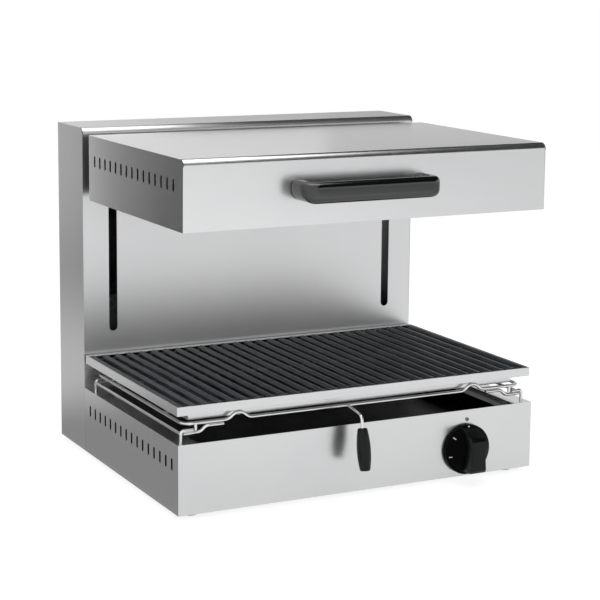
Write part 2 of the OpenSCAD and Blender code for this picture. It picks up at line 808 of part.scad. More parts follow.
module heater_legs(d, z0, z1) {
    for (i = [-1 : 1], run = [-0.5, 0.5])
        translate([-heater_x, heater_mid + i * heater_step + run * heater_pitch, z0])
            cylinder(d = d, h = z1 - z0);
}

module reflector() color(CHROME) placed() difference() {
    union() {
        block([-inner_w + 1, hood_front + sheet + 1, hood_z + sheet],
            [inner_w - 1, hood_back - sheet - 1, hood_z + sheet + reflector_sheet]);
        block([-heated_x - reflector_sheet, heated_front - reflector_sheet, hood_z + sheet],
            [heated_x + reflector_sheet, heated_back + reflector_sheet, reflector_z + reflector_sheet]);
    }
    block([-heated_x, heated_front, hood_z], [heated_x, heated_back, reflector_z]);
    heater_legs(heater_d + 1, hood_z, terminal_z);
}

module insulation_pad() color(CERAMIC) placed() difference() {
    block([-heated_x, heated_front, insulation_z], [heated_x, heated_back, terminal_z]);
    heater_legs(heater_d + 2, hood_z, terminal_z + 1);
}

module heating_element(row) {
    y0 = heater_mid + (row - 2) * heater_step - heater_pitch / 2;
    y1 = y0 + heater_pitch;
    left = -heater_x;
    right = heater_x - heater_pitch / 2;
    turn = 12;
    for (y = [y0, y1]) {
        bar([left, y, terminal_z + 5], [left, y, terminal_z + 12], 4);
        bar([left, y, heater_z + turn], [left, y, terminal_z + 5], heater_d);
        arc_xz([left + turn, y, heater_z + turn], turn, 180, 90, heater_d);
        bar([left + turn, y, heater_z], [right, y, heater_z], heater_d);
    }
    arc_xy([right, (y0 + y1) / 2, heater_z], heater_pitch / 2, -90, 180, heater_d);
}

module heating_element_1() color(DARK) placed() heating_element(1);

module heating_element_2() color(DARK) placed() heating_element(2);

module heating_element_3() color(DARK) placed() heating_element(3);

module element_hangers() color(CHROME) placed() both_sides() difference() {
    block([heated_x / 2 - 1, heated_front, heater_z - heater_d / 2 - 3],
        [heated_x / 2 + 1, heated_back, reflector_z]);
    for (i = [-1 : 1], run = [-0.5, 0.5])
        x_cylinder(heater_mid + i * heater_step + run * heater_pitch, heater_z, heater_d + 2 * hole_gap,
            heated_x / 2 - 2, heated_x / 2 + 2);
}

module element_terminals() color(CERAMIC) placed()
    for (i = [-1 : 1], run = [-0.5, 0.5])
        translate([-heater_x, heater_mid + i * heater_step + run * heater_pitch, terminal_z]) difference() {
            cylinder(d = heater_d + 8, h = 4);
            translate([0, 0, -1]) cylinder(d = heater_d + 2 * run_gap, h = 6);
        }

// Lift, pieces that move with the hood
bolt_x = 14;
bolt_edge = 9;
bolt_d = 6;
bolt_head_d = 10;
bolt_head_h = 4;
bolt_in = 11;

function bolt_places() = [for (x = [-bolt_x, bolt_x], z = [arm_z + bolt_edge, arm_z + arm_h - bolt_edge]) [x, z]];

module lift_arm() difference() {
    union() {
        block([slot_x - arm_w / 2, arm_front, arm_z],
            [slot_x + arm_w / 2, carriage_front - foot_plate_t + eps, arm_z + arm_h]);
        block([slot_x - foot_plate_w / 2, carriage_front - foot_plate_t, arm_z],
            [slot_x + foot_plate_w / 2, carriage_front, arm_z + arm_h]);
        for (y = [arm_front + arm_pad_front, hood_back - arm_pad_back])
            block([slot_x - arm_w / 2, y, hood_z + sheet + reflector_sheet],
                [slot_x + arm_w / 2, y + arm_pad, arm_z + eps]);
    }
    block([slot_x - arm_w / 2 + arm_wall, arm_front - 1, arm_z + arm_wall],
        [slot_x + arm_w / 2 - arm_wall, carriage_front - foot_plate_t - 4, arm_z + arm_h - arm_wall]);
    for (p = bolt_places())
        y_cylinder(slot_x + p[0], p[1], bolt_d + 2 * hole_gap, carriage_front - foot_plate_t - 1,
            carriage_front + 1);
}

module lift_arm_left() color(ZINC) placed() on_side(-1) lift_arm();

module lift_arm_right() color(ZINC) placed() on_side(1) lift_arm();

module carriage() difference() {
    block([slot_x - carriage_w / 2, carriage_front, carriage_z],
        [slot_x + carriage_w / 2, carriage_back, carriage_top]);
    translate([slot_x, rod_y, carriage_z - 1])
        cylinder(d = bush_d + 2 * run_gap, h = carriage_top - carriage_z + 2);
    translate([slot_x, cable_front_y, carriage_top - cable_end - 1])
        cylinder(d = cable_hole_d, h = cable_end + 2);
    for (p = bolt_places())
        y_cylinder(slot_x + p[0], p[1], bolt_d + 2 * hole_gap, carriage_front - 1, carriage_front + bolt_in + 1);
}

module carriage_left() color(ZINC) placed() on_side(-1) carriage();

module carriage_right() color(ZINC) placed() on_side(1) carriage();

module guide_bushes() color([0.72, 0.58, 0.30]) placed() both_sides()
    for (z = [carriage_z, carriage_top - bush_h])
        translate([slot_x, rod_y, z]) difference() {
            cylinder(d = bush_d, h = bush_h);
            translate([0, 0, -1]) cylinder(d = rod_d + 2 * run_gap, h = bush_h + 2);
        }

module arm_bolts() color(ZINC) placed() both_sides() for (p = bolt_places()) {
    translate([slot_x + p[0], carriage_front - foot_plate_t - bolt_head_h, p[1]]) rotate([-90, 0, 0])
        cylinder(d = bolt_head_d, h = bolt_head_h, $fn = 6);
    y_cylinder(slot_x + p[0], p[1], bolt_d, carriage_front - foot_plate_t - eps, carriage_front + bolt_in);
}

// The bow handle: a bar and two legs joined by round elbows
module bow_section(depth) {
    round_rect(depth, bow_h, bow_r);
}

module bow_handle() color(BLACK) placed() translate([handle_x, 0, bow_z]) difference() {
    union() {
        translate([-bow_x + bow_turn, bow_front + bow_t / 2, 0]) rotate([90, 0, 90])
            linear_extrude(2 * (bow_x - bow_turn)) bow_section(bow_t);
        both_sides() {
            translate([bow_x - bow_turn, bow_front + bow_turn, 0]) rotate([0, 0, -90])
                intersection() {
                    rotate_extrude() translate([bow_turn - bow_t / 2, 0]) bow_section(bow_t);
                    translate([0, 0, -bow_h]) cube([bow_turn, bow_turn, 2 * bow_h]);
                }
            translate([bow_x - bow_t / 2, bow_front + bow_turn - eps, 0]) rotate([-90, 0, 0])
                linear_extrude(bow_proud - bow_turn + eps) bow_section(bow_t);
            translate([bow_x - bow_leg / 2, hood_front - 10, 0]) rotate([-90, 0, 0])
                linear_extrude(10) bow_section(bow_leg);
        }
    }
    for (x = [-bow_screw_x, bow_screw_x])
        y_cylinder(x, 0, screw_d + 2 * run_gap, hood_front - bow_screw_in - 1, hood_front + 1);
    both_sides() bow_corner_cut();
}

module bow_corner_cut() translate([bow_x - bow_drop_r, hood_front + 1, bow_drop_r - bow_h / 2])
    rotate([90, 0, 0]) linear_extrude(bow_proud + 2) difference() {
        translate([0, -bow_drop_r - 1]) square(bow_drop_r + 1);
        circle(r = bow_drop_r);
    }

module handle_screws() color(ZINC) placed() for (x = [-bow_screw_x, bow_screw_x]) {
    y_cylinder(handle_x + x, bow_z, screw_d, hood_front - bow_screw_in, hood_front + sheet + eps);
    y_cylinder(handle_x + x, bow_z, bow_screw_head, hood_front + sheet, hood_front + sheet + 3.5);
}

// Counterweight and pulleys
module counterweight() color([0.30, 0.31, 0.32]) placed() difference() {
    block([-weight_x, weight_y, weight_z], [weight_x, weight_y + weight_t, weight_z + weight_h]);
    both_sides() translate([slot_x, cable_back_y, weight_top - cable_end - 1])
        cylinder(d = cable_hole_d, h = cable_end + 2);
}

module pulley() translate([slot_x, pulley_y, pulley_z]) rotate([0, 90, 0]) difference() {
    translate([0, 0, -pulley_w / 2]) cylinder(r = pulley_rim_r, h = pulley_w);
    rotate_extrude() translate([pulley_r, 0]) circle(r = pulley_r - pulley_groove_r);
    rotate_extrude() translate([pulley_r, -(pulley_r - pulley_groove_r)])
        square([pulley_rim_r, 2 * (pulley_r - pulley_groove_r)]);
    translate([0, 0, -pulley_w]) cylinder(d = pin_d + 2 * run_gap, h = 2 * pulley_w);
}

module pulley_left() color(BLACK) placed() on_side(-1) pulley();

module pulley_right() color(BLACK) placed() on_side(1) pulley();

// Knob: a skirt, a dome and a grip that slopes down to its pointer end
knob_back = 1.2;
knob_face = knob_back + skirt_t;
knob_end = knob_face + knob_grip;
dome_r = (knob_dome + (knob_r - 1.5) * (knob_r - 1.5) / knob_dome) / 2;

module knob() color(BLACK) placed() translate([knob_x, 0, knob_z]) difference() {
    union() {
        rotate([90, 0, 0]) rotate_extrude() {
            translate([0, knob_back]) square([knob_r, skirt_t - 1.5]);
            translate([0, knob_back]) square([knob_r - 1.5, skirt_t]);
            translate([knob_r - 1.5, knob_face - 1.5]) circle(r = 1.5);
            intersection() {
                translate([0, knob_face + knob_dome - dome_r]) circle(r = dome_r, $fn = 192);
                translate([0, knob_face - 1]) square([knob_r - 1.5, knob_dome + 1]);
            }
        }
        intersection() {
            extrude_x(-knob_grip_w / 2, knob_grip_w / 2) polygon([
                [-knob_face + 1, -knob_r + 9], [-knob_end + 3, -knob_r + 9],
                [-knob_end, -knob_r + 13], [-knob_end, knob_r - 20],
                [-knob_end + 3, knob_r - 14.5], [-knob_face - 1.5, knob_r - 2.5],
                [-knob_face + 1, knob_r - 2.5]]);
            rotate([90, 0, 0]) cylinder(r = knob_r - 0.5, h = 60);
        }
    }
    y_cylinder(0, 0, 2 * 10.5, -4.2, 1);
    y_cylinder(0, 0, shaft_d + 2 * run_gap, -shaft_out - 1, 1);
}

module switch_shaft() color(ZINC) placed() y_cylinder(knob_x, knob_z, shaft_d, -shaft_out, sheet + shaft_in);

// Sliding carrier that holds the grate
hump_x = half_w - hump_inset;
hump_w = 22;
hump_turn = 2 * atan(hump_rise / hump_w);
hump_r = hump_w / 2 / sin(hump_turn);
carrier_r = 14;

module hump(x) {
    extra = 1.5;
    y = carrier_front;
    arc_xz([x - hump_w, y, carrier_z + hump_r], hump_r, 270, hump_turn, weld_d);
    arc_xz([x + hump_w, y, carrier_z + hump_r], hump_r, 270 - hump_turn, hump_turn, weld_d);
    arc_xz([x, y, carrier_z + hump_rise - hump_r], hump_r, 90 - hump_turn - extra,
        2 * (hump_turn + extra), wire_d);
}

module carrier_frame() color(CHROME) placed() {
    x = carrier_x;
    y0 = carrier_front;
    y1 = carrier_back_y;
    z = carrier_z;
    hump_end = hump_x - hump_w + weld;
    both_sides() {
        arc_xy([x - carrier_r, y0 + carrier_r, z], carrier_r, 270, 90, wire_d);
        arc_xy([x - carrier_r, y1 - carrier_r, z], carrier_r, 0, 90, wire_d);
        bar([x, y0 + carrier_r, z], [x, y1 - carrier_r, z], wire_d);
        bar([hump_x + hump_w - weld, y0, z], [x - carrier_r, y0, z], wire_d);
        hump(hump_x);
        bar([peg_x, y0, peg_z], [peg_x, y0, z], wire_d - 0.2);
    }
    bar([-hump_end, y0, z], [hump_end, y0, z], wire_d);
    bar([-x + carrier_r, y1, z], [x - carrier_r, y1, z], wire_d);
    for (y = [y0 + 75, y1 - 75]) bar([-x, y, z], [x, y, z], wire_d - 0.2);
}

module carrier_handle() color(CHROME) placed() difference() {
    handle_wire();
    x_cylinder(carrier_front, carrier_z, wire_d + 2 * run_gap, handle_x - wire_d, handle_x + wire_d);
}

module handle_wire() {
    start = [carrier_front - wire_d / 2 + 0.4, carrier_z - 0.5];
    out = unit(handle_corner - start);
    a = atan2(out[1], out[0]) + 360;
    turn = 270 - grip_tilt - a;
    turn_r = 8;
    turn_in = turn_r * tan(turn / 2);
    first = handle_corner - turn_in * out;
    last = handle_corner + turn_in * grip_way;
    centre = first + turn_r * [-out[1], out[0]];
    end = grip_start + (grip_len - 8) * grip_way;
    yz_bar(start, first + weld * out, wire_d);
    arc_yz([handle_x, centre[0], centre[1]], turn_r, a - 90, turn, weld_d);
    yz_bar(last - weld * grip_way, end, wire_d);
}

module yz_bar(p, q, d) {
    translate([handle_x, p[0], p[1]]) rotate([atan2(q[1] - p[1], q[0] - p[0]) - 90, 0, 0])
        cylinder(d = d, h = norm(q - p));
}

// The grip is a barrel along its own axis, tilted outwards at its lower end
module carrier_grip() color(BLACK) placed() translate([handle_x, grip_start[0], grip_start[1]])
    rotate([180 - grip_tilt, 0, 0]) difference() {
        rotate_extrude() intersection() {
            translate([grip_d / 2 - 160, grip_len * 0.52]) circle(r = 160, $fn = 192);
            square([grip_d, grip_len]);
        }
        translate([0, 0, -1]) cylinder(d = wire_d + 2 * run_gap, h = grip_len - 6);
    }

// Grate
module grate_frame() color(STEEL) placed() {
    difference() {
        block([-grate_x, grate_front, band_z], [grate_x, grate_back_y, grate_top]);
        block([-grate_x + grate_sheet, grate_front + grate_sheet, band_z + grate_sheet],
            [grate_x - grate_sheet, grate_back_y - grate_sheet, grate_top + 1]);
        block([-lower_x + grate_sheet, lower_front + grate_sheet, band_z - 1],
            [lower_x - grate_sheet, lower_back - grate_sheet, band_z + 3]);
    }
    difference() {
        block([-lower_x, lower_front, lower_z], [lower_x, lower_back, band_z + eps]);
        block([-lower_x + grate_sheet, lower_front + grate_sheet, lower_z - 1],
            [lower_x - grate_sheet, lower_back - grate_sheet, band_z + 1]);
    }
    block([-grate_x, rib_back + 1, grate_top - grate_sheet], [grate_x, grate_back_y, grate_top]);
}

module rib(x) difference() {
    translate([x, rib_back, 0]) rotate([90, 0, 0]) linear_extrude(rib_back - rib_front) {
        translate([-rib_w / 2, rib_z]) square([rib_w, rib_top - rib_z - rib_w / 2]);
        translate([0, rib_top - rib_w / 2]) circle(d = rib_w);
    }
    for (y = tie_ys) x_cylinder(y, tie_z, tie_d + 2 * hole_gap, x - rib_w, x + rib_w);
}

module grate_ribs() color(BLACK) placed()
    for (i = [0 : rib_count - 1]) rib(-rib_span / 2 + i * rib_pitch);

module grate_tie_rods() color(ZINC) placed()
    for (y = tie_ys) x_cylinder(y, tie_z, tie_d, -grate_x + grate_sheet, grate_x - grate_sheet);

base_shell();
bottom_plate();
tray_rail_left();
tray_rail_right();
drip_tray();
column_wrap();
column_side_left();
column_side_right();
rear_cover();
cover_screws();
feet();
foot_screws();
guide_rod_left();
guide_rod_right();
rod_collars();
lower_bracket();
top_crossbeam();
pulley_brackets();
front_cables();
pulley_cables();
rear_cables();
weight_guides();
rack_support_left();
rack_support_right();
control_switch();
pilot_lamp();
terminal_block();
cable_gland();
base_wiring();
flex_lead();
hood_shell();
hood_side_left();
hood_side_right();
hood_back_panel();
reflector();
insulation_pad();
heating_element_1();
heating_element_2();
heating_element_3();
element_hangers();
element_terminals();
lift_arm_left();
lift_arm_right();
carriage_left();
carriage_right();
guide_bushes();
arm_bolts();
bow_handle();
handle_screws();
counterweight();
pulley_left();
pulley_right();
knob();
switch_shaft();
carrier_frame();
carrier_handle();
carrier_grip();
grate_frame();
grate_ribs();
grate_tie_rods();
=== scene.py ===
"""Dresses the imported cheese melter, an electric grill with a sliding hood, for Blender.

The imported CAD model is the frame. Every piece is in metres in its frame and rides on
one of its bodies. The sheets that show, the knob and the two handles are built anew,
and every other CAD node keeps its shape and gets a finish.
"""

from __future__ import annotations

import json
import logging
import math
from dataclasses import dataclass
from enum import Enum
from typing import Iterable, Sequence

import bmesh  # noqa: E402
import bpy  # noqa: E402
from mathutils import Matrix, Vector  # noqa: E402

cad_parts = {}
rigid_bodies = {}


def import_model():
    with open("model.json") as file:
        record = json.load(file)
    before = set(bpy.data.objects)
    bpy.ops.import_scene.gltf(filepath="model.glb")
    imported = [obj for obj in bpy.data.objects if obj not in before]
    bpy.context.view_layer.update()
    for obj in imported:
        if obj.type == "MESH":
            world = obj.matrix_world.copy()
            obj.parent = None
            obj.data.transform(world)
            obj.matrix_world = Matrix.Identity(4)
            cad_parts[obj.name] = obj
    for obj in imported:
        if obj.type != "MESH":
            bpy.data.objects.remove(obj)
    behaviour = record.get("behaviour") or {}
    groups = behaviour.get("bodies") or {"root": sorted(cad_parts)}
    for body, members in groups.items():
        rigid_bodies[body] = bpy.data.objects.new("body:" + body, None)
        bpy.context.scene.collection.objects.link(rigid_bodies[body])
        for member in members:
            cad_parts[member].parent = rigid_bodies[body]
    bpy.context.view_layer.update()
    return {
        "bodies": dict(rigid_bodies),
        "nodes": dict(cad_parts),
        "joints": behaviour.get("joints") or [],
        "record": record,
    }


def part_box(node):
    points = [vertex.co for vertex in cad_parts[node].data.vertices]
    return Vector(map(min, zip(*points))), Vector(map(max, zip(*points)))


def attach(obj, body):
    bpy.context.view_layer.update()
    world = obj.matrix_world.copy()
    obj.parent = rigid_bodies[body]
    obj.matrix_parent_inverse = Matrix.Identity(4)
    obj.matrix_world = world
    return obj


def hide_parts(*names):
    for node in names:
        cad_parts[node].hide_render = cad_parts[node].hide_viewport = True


log = logging.getLogger("cheese_melter")

MM = 0.001
TINY = 1e-6  # shorter than this, in metres, is no length
MERGE = 2e-6  # CAD vertices nearer than this, in metres, are one
PANEL_Y = -0.2235  # the front panel's face, in metres

Place = tuple[float, float, float]


# ---------------------------------------------------------------- named options


class Grain(Enum):
    """The way in which the lines of a brushed sheet run."""

    X = (1.0, 60.0, 60.0)
    Y = (60.0, 1.0, 60.0)
    Z = (60.0, 60.0, 1.0)


# ---------------------------------------------------------------- node trees


class Graph:
    """Writes the nodes of one material or world.

    Args:
        tree: The node tree, which is emptied first.
    """

    def __init__(self, tree: bpy.types.NodeTree) -> None:
        """Takes the tree over and empties it."""
        self.tree = tree
        tree.nodes.clear()

    def add(self, kind: str, **values: object) -> bpy.types.Node:
        """Adds a node.

        Args:
            kind: The node's type, without its ShaderNode prefix.
            **values: Attributes of the node.

        Returns:
            The new node.
        """
        node = self.tree.nodes.new("ShaderNode" + kind)
        for name, value in values.items():
            setattr(node, name, value)
        return node

    def set(self, node: bpy.types.Node, **values: object) -> bpy.types.Node:
        """Sets input sockets by name, with _ for a space.

        Args:
            node: The node whose sockets are set.
            **values: The sockets' values.

        Returns:
            The same node.
        """
        for name, value in values.items():
            node.inputs[name.replace("_", " ")].default_value = value
        return node

    def link(self, source: bpy.types.NodeSocket, target: bpy.types.NodeSocket) -> None:
        """Links an output to an input."""
        self.tree.links.new(source, target)

    def coords(self, scale: Sequence[float] = (1.0, 1.0, 1.0)) -> bpy.types.NodeSocket:
        """Object coordinates in metres, scaled.

        Args:
            scale: The factor along each axis.

        Returns:
            The vector output.
        """
        place = self.add("TexCoord")
        mapping = self.add("Mapping")
        mapping.inputs["Scale"].default_value = scale
        self.link(place.outputs["Object"], mapping.inputs["Vector"])
        return mapping.outputs["Vector"]

    def noise(
        self,
        vector: bpy.types.NodeSocket,
        scale: float,
        detail: float = 2.0,
        roughness: float = 0.5,
    ) -> bpy.types.NodeSocket:
        """A noise texture's factor.

        Args:
            vector: Where it is read.
            scale: Its scale.
            detail: Its octaves.
            roughness: The weight of the finer octaves.

        Returns:
            The factor output.
        """
        node = self.add("TexNoise")
        self.set(node, Scale=scale, Detail=detail, Roughness=roughness)
        self.link(vector, node.inputs["Vector"])
        return node.outputs["Fac"]

    def ramp(
        self,
        factor: bpy.types.NodeSocket,
        stops: Sequence[tuple[float, Sequence[float]]],
    ) -> bpy.types.NodeSocket:
        """A colour ramp over a factor.

        Args:
            factor: What the ramp reads.
            stops: Positions and RGB colours.

        Returns:
            The colour output.
        """
        node = self.add("ValToRGB")
        elements = node.color_ramp.elements
        while len(elements) > len(stops):
            elements.remove(elements[-1])
        while len(elements) < len(stops):
            elements.new(1.0)
        for element, (place, colour) in zip(elements, stops):
            element.position = place
            element.color = (*colour, 1.0)
        self.link(factor, node.inputs["Fac"])
        return node.outputs["Color"]

    def span(
        self,
        value: bpy.types.NodeSocket,
        low: float,
        high: float,
        start: float = 0.0,
        end: float = 1.0,
    ) -> bpy.types.NodeSocket:
        """Maps a value from start..end to low..high.

        Args:
            value: What is mapped.
            low: The result up to start.
            high: The result from end on.
            start: Where the change starts.
            end: Where it ends.

        Returns:
            The mapped value.
        """
        node = self.add("MapRange")
        self.set(node, From_Min=start, From_Max=end, To_Min=low, To_Max=high)
        self.link(value, node.inputs["Value"])
        return node.outputs["Result"]

    def calc(
        self, operation: str, *values: float | bpy.types.NodeSocket
    ) -> bpy.types.NodeSocket:
        """Works on sockets and numbers with a Math node.

        Args:
            operation: The node's operation.
            *values: Its inputs, in order.

        Returns:
            The result.
        """
        node = self.add("Math", operation=operation)
        for socket, value in zip(node.inputs, values):
            if isinstance(value, float):
                socket.default_value = value
            else:
                self.link(value, socket)
        return node.outputs[0]

    def place(self, axis: str) -> bpy.types.NodeSocket:
        """The place along one axis, in metres.

        Args:
            axis: X, Y or Z.

        Returns:
            The coordinate.
        """
        parts = self.add("SeparateXYZ")
        self.link(self.coords(), parts.inputs["Vector"])
        return parts.outputs[axis]

    def blend(
        self,
        a: bpy.types.NodeSocket,
        b: bpy.types.NodeSocket,
        share: float | bpy.types.NodeSocket = 0.5,
        mode: str = "MIX",
    ) -> bpy.types.NodeSocket:
        """Mixes two colours or factors.

        Args:
            a: The first.
            b: The second.
            share: How much of the second, or the socket that says it.
            mode: The way of mixing.

        Returns:
            The mixed colour.
        """
        node = self.add("Mix", data_type="RGBA", blend_type=mode)
        if isinstance(share, float):
            node.inputs["Factor"].default_value = share
        else:
            self.link(share, node.inputs["Factor"])
        self.link(a, node.inputs["A"])
        self.link(b, node.inputs["B"])
        return node.outputs["Result"]

    def bump(
        self,
        height: bpy.types.NodeSocket,
        strength: float,
        distance: float,
    ) -> bpy.types.NodeSocket:
        """A bump from a height.

        Args:
            height: The height.
            strength: The bump's strength.
            distance: The height that 1 stands for, in metres.

        Returns:
            The normal output.
        """
        node = self.add("Bump")
        self.set(node, Strength=strength, Distance=distance)
        self.link(height, node.inputs["Height"])
        return node.outputs["Normal"]

    def shader(self, **values: object) -> bpy.types.Node:
        """The main shader and the output.

        Args:
            **values: Uniform values of the shader's sockets.

        Returns:
            The shader node.
        """
        node = self.add("BsdfPrincipled")
        self.set(node, **values)
        out = self.add("OutputMaterial")
        self.link(node.outputs["BSDF"], out.inputs["Surface"])
        return node


def new_material(name: str) -> tuple[bpy.types.Material, Graph]:
    """Makes an empty material.

    Args:
        name: Its name.

    Returns:
        The material and its graph.
    """
    material = bpy.data.materials.new(name)
    material.use_nodes = True
    return material, Graph(material.node_tree)


# ---------------------------------------------------------------- finishes


@dataclass(frozen=True)
class BrushedSteel:
    """Stainless sheet with fine brushed lines and faint clouds.

    Args:
        name: The material's name.
        grain: The way in which the lines run.
        side_grain: Their way on the faces that the grain would pierce.
        tone: How bright the steel is.
        roughness: Its middle roughness.
        contrast: How far the lines depart from the tone.
        spread: How far the roughness departs from its middle.
        fine: The scale of the fine lines.
        coarse: The scale of the coarse lines.
        pierced: A face is pierced when its normal lies along the grain by more.
    """

    name: str
    grain: Grain
    side_grain: Grain
    tone: float = 0.735
    roughness: float = 0.25
    contrast: float = 0.010
    spread: float = 0.035
    fine: float = 26.0
    coarse: float = 4.0
    pierced: float = 0.75

    def streaks(self, g: Graph, grain: Grain) -> bpy.types.NodeSocket:
        """The brushed lines along one axis.

        Args:
            g: The material's graph.
            grain: The way in which they run.

        Returns:
            A factor from 0 to 1.
        """
        lines = g.coords(grain.value)
        fine = g.noise(lines, self.fine, 3.0, 0.65)
        return g.blend(fine, g.noise(lines, self.coarse), 0.4)

    def build(self) -> bpy.types.Material:
        """Makes the material, whose lines turn on the faces that they would pierce.

        Returns:
            The material.
        """
        material, g = new_material(self.name)
        cloud = g.noise(g.coords(), 7.0)
        normal = g.add("SeparateXYZ")
        g.link(g.add("TexCoord").outputs["Normal"], normal.inputs["Vector"])
        facing = g.calc("ABSOLUTE", normal.outputs[self.grain.name])
        pierced = g.calc("GREATER_THAN", facing, self.pierced)
        streak = g.blend(
            self.streaks(g, self.grain), self.streaks(g, self.side_grain), pierced
        )
        t, c = self.tone, self.contrast
        colour = g.ramp(
            streak,
            [
                (0.30, (t - c, t - c, t - 0.97 * c)),
                (0.52, (t, t, t * 1.004)),
                (0.72, (t + c, t + c, t + c)),
            ],
        )
        veil = g.ramp(cloud, [(0.3, (0.965, 0.967, 0.970)), (0.7, (1.0, 1.0, 1.0))])
        colour = g.blend(colour, veil, 1.0, "MULTIPLY")
        rough = g.span(
            g.blend(streak, cloud, 0.35),
            self.roughness - self.spread,
            self.roughness + self.spread,
        )
        shader = g.shader(Metallic=1.0)
        g.link(colour, shader.inputs["Base Color"])
        g.link(rough, shader.inputs["Roughness"])
        bump = g.bump(streak, strength=0.018, distance=0.00003)
        g.link(bump, shader.inputs["Normal"])
        return material


@dataclass(frozen=True)
class PolishedWire:
    """Plated or drawn wire and rod, nearly a mirror, with faint drawing lines."""

    name: str
    tone: float = 0.80
    roughness: float = 0.16
    speck: float = 260.0

    def build(self) -> bpy.types.Material:
        """Makes the material.

        Returns:
            The material.
        """
        material, g = new_material(self.name)
        speck = g.noise(g.coords(), self.speck, 3.0, 0.6)
        cloud = g.noise(g.coords(), 18.0)
        t = self.tone
        colour = g.ramp(
            cloud, [(0.3, (t * 0.93, t * 0.93, t * 0.94)), (0.7, (t, t, t))]
        )
        shader = g.shader(Metallic=1.0)
        g.link(colour, shader.inputs["Base Color"])
        g.link(
            g.span(speck, self.roughness - 0.06, self.roughness + 0.08),
            shader.inputs["Roughness"],
        )
        bump = g.bump(speck, strength=0.12, distance=0.00005)
        g.link(bump, shader.inputs["Normal"])
        return material


@dataclass(frozen=True)
class ZincPlate:
    """Zinc-coated sheet with its pale crystals."""

    name: str
    tone: float = 0.60
    crystal: float = 110.0

    def build(self) -> bpy.types.Material:
        """Makes the material.

        Returns:
            The material.
        """
        material, g = new_material(self.name)
        cells = g.add("TexVoronoi")
        g.set(cells, Scale=self.crystal)
        g.link(g.coords(), cells.inputs["Vector"])
        split = g.add("SeparateColor")
        g.link(cells.outputs["Color"], split.inputs["Color"])
        t = self.tone
        colour = g.ramp(
            split.outputs["Red"],
            [
                (0.0, (t * 0.82, t * 0.84, t * 0.86)),
                (1.0, (t * 1.10, t * 1.12, t * 1.14)),
            ],
        )
        shader = g.shader(Metallic=0.8)
        g.link(colour, shader.inputs["Base Color"])
        g.link(g.span(split.outputs["Green"], 0.34, 0.56), shader.inputs["Roughness"])
        bump = g.bump(split.outputs["Blue"], strength=0.1, distance=0.00004)
        g.link(bump, shader.inputs["Normal"])
        return material


@dataclass(frozen=True)
class MouldedPlastic:
    """Moulded black plastic, from satin to glossy, with a very fine grain."""

    name: str
    colour: tuple[float, float, float] = (0.018, 0.019, 0.021)
    roughness: float = 0.32
    grain: float = 900.0
    depth: float = 0.00003
    level: float = 0.5

    def build(self) -> bpy.types.Material:
        """Makes the material.

        Returns:
            The material.
        """
        material, g = new_material(self.name)
        fine = g.noise(g.coords(), self.grain)
        cloud = g.noise(g.coords(), 30.0)
        r, gr, b = self.colour
        colour = g.ramp(
            cloud,
            [
                (0.3, (r * 0.86, gr * 0.86, b * 0.86)),
                (0.7, (r * 1.14, gr * 1.14, b * 1.14)),
            ],
        )
        shader = g.shader(Specular_IOR_Level=self.level)
        g.link(colour, shader.inputs["Base Color"])
        g.link(
            g.span(fine, self.roughness - 0.05, self.roughness + 0.07),
            shader.inputs["Roughness"],
        )
        bump = g.bump(fine, strength=0.2, distance=self.depth)
        g.link(bump, shader.inputs["Normal"])
        return material


@dataclass(frozen=True)
class CastEnamel:
    """Black enamel over cast or pressed iron: pitted, oily, paler where it wears."""

    name: str
    colour: tuple[float, float, float] = (0.010, 0.013, 0.016)
    worn: tuple[float, float, float] = (0.056, 0.067, 0.077)
    roughness: float = 0.36
    level: float = 0.5
    pits: float = 420.0
    patch: float = 55.0

    def build(self) -> bpy.types.Material:
        """Makes the material.

        Returns:
            The material.
        """
        material, g = new_material(self.name)
        pits = g.noise(g.coords(), self.pits, 3.0, 0.6)
        patch = g.noise(g.coords((1.0, 0.35, 1.0)), self.patch, 3.0, 0.6)
        colour = g.ramp(patch, [(0.38, self.colour), (0.72, self.worn)])
        shader = g.shader(Specular_IOR_Level=self.level)
        g.link(colour, shader.inputs["Base Color"])
        uneven = g.blend(pits, patch, 0.6)
        g.link(
            g.span(uneven, self.roughness - 0.14, self.roughness + 0.16),
            shader.inputs["Roughness"],
        )
        bump = g.bump(pits, strength=0.35, distance=0.00012)
        g.link(bump, shader.inputs["Normal"])
        return material


@dataclass(frozen=True)
class Fibre:
    """Mineral wool, ceramic or another pale matt stuff."""

    name: str
    colour: tuple[float, float, float] = (0.78, 0.74, 0.62)
    scale: float = 300.0
    depth: float = 0.0006

    def build(self) -> bpy.types.Material:
        """Makes the material.

        Returns:
            The material.
        """
        material, g = new_material(self.name)
        tuft = g.noise(g.coords((1.0, 1.0, 2.5)), self.scale, 4.0, 0.7)
        r, gr, b = self.colour
        # The tufts are darker where the bump is lowest: painted shade in their hollows.
        colour = g.ramp(
            tuft, [(0.3, (r * 0.78, gr * 0.76, b * 0.72)), (0.65, self.colour)]
        )
        shader = g.shader(Roughness=0.85)
        g.link(colour, shader.inputs["Base Color"])
        bump = g.bump(tuft, strength=0.5, distance=self.depth)
        g.link(bump, shader.inputs["Normal"])
        return material


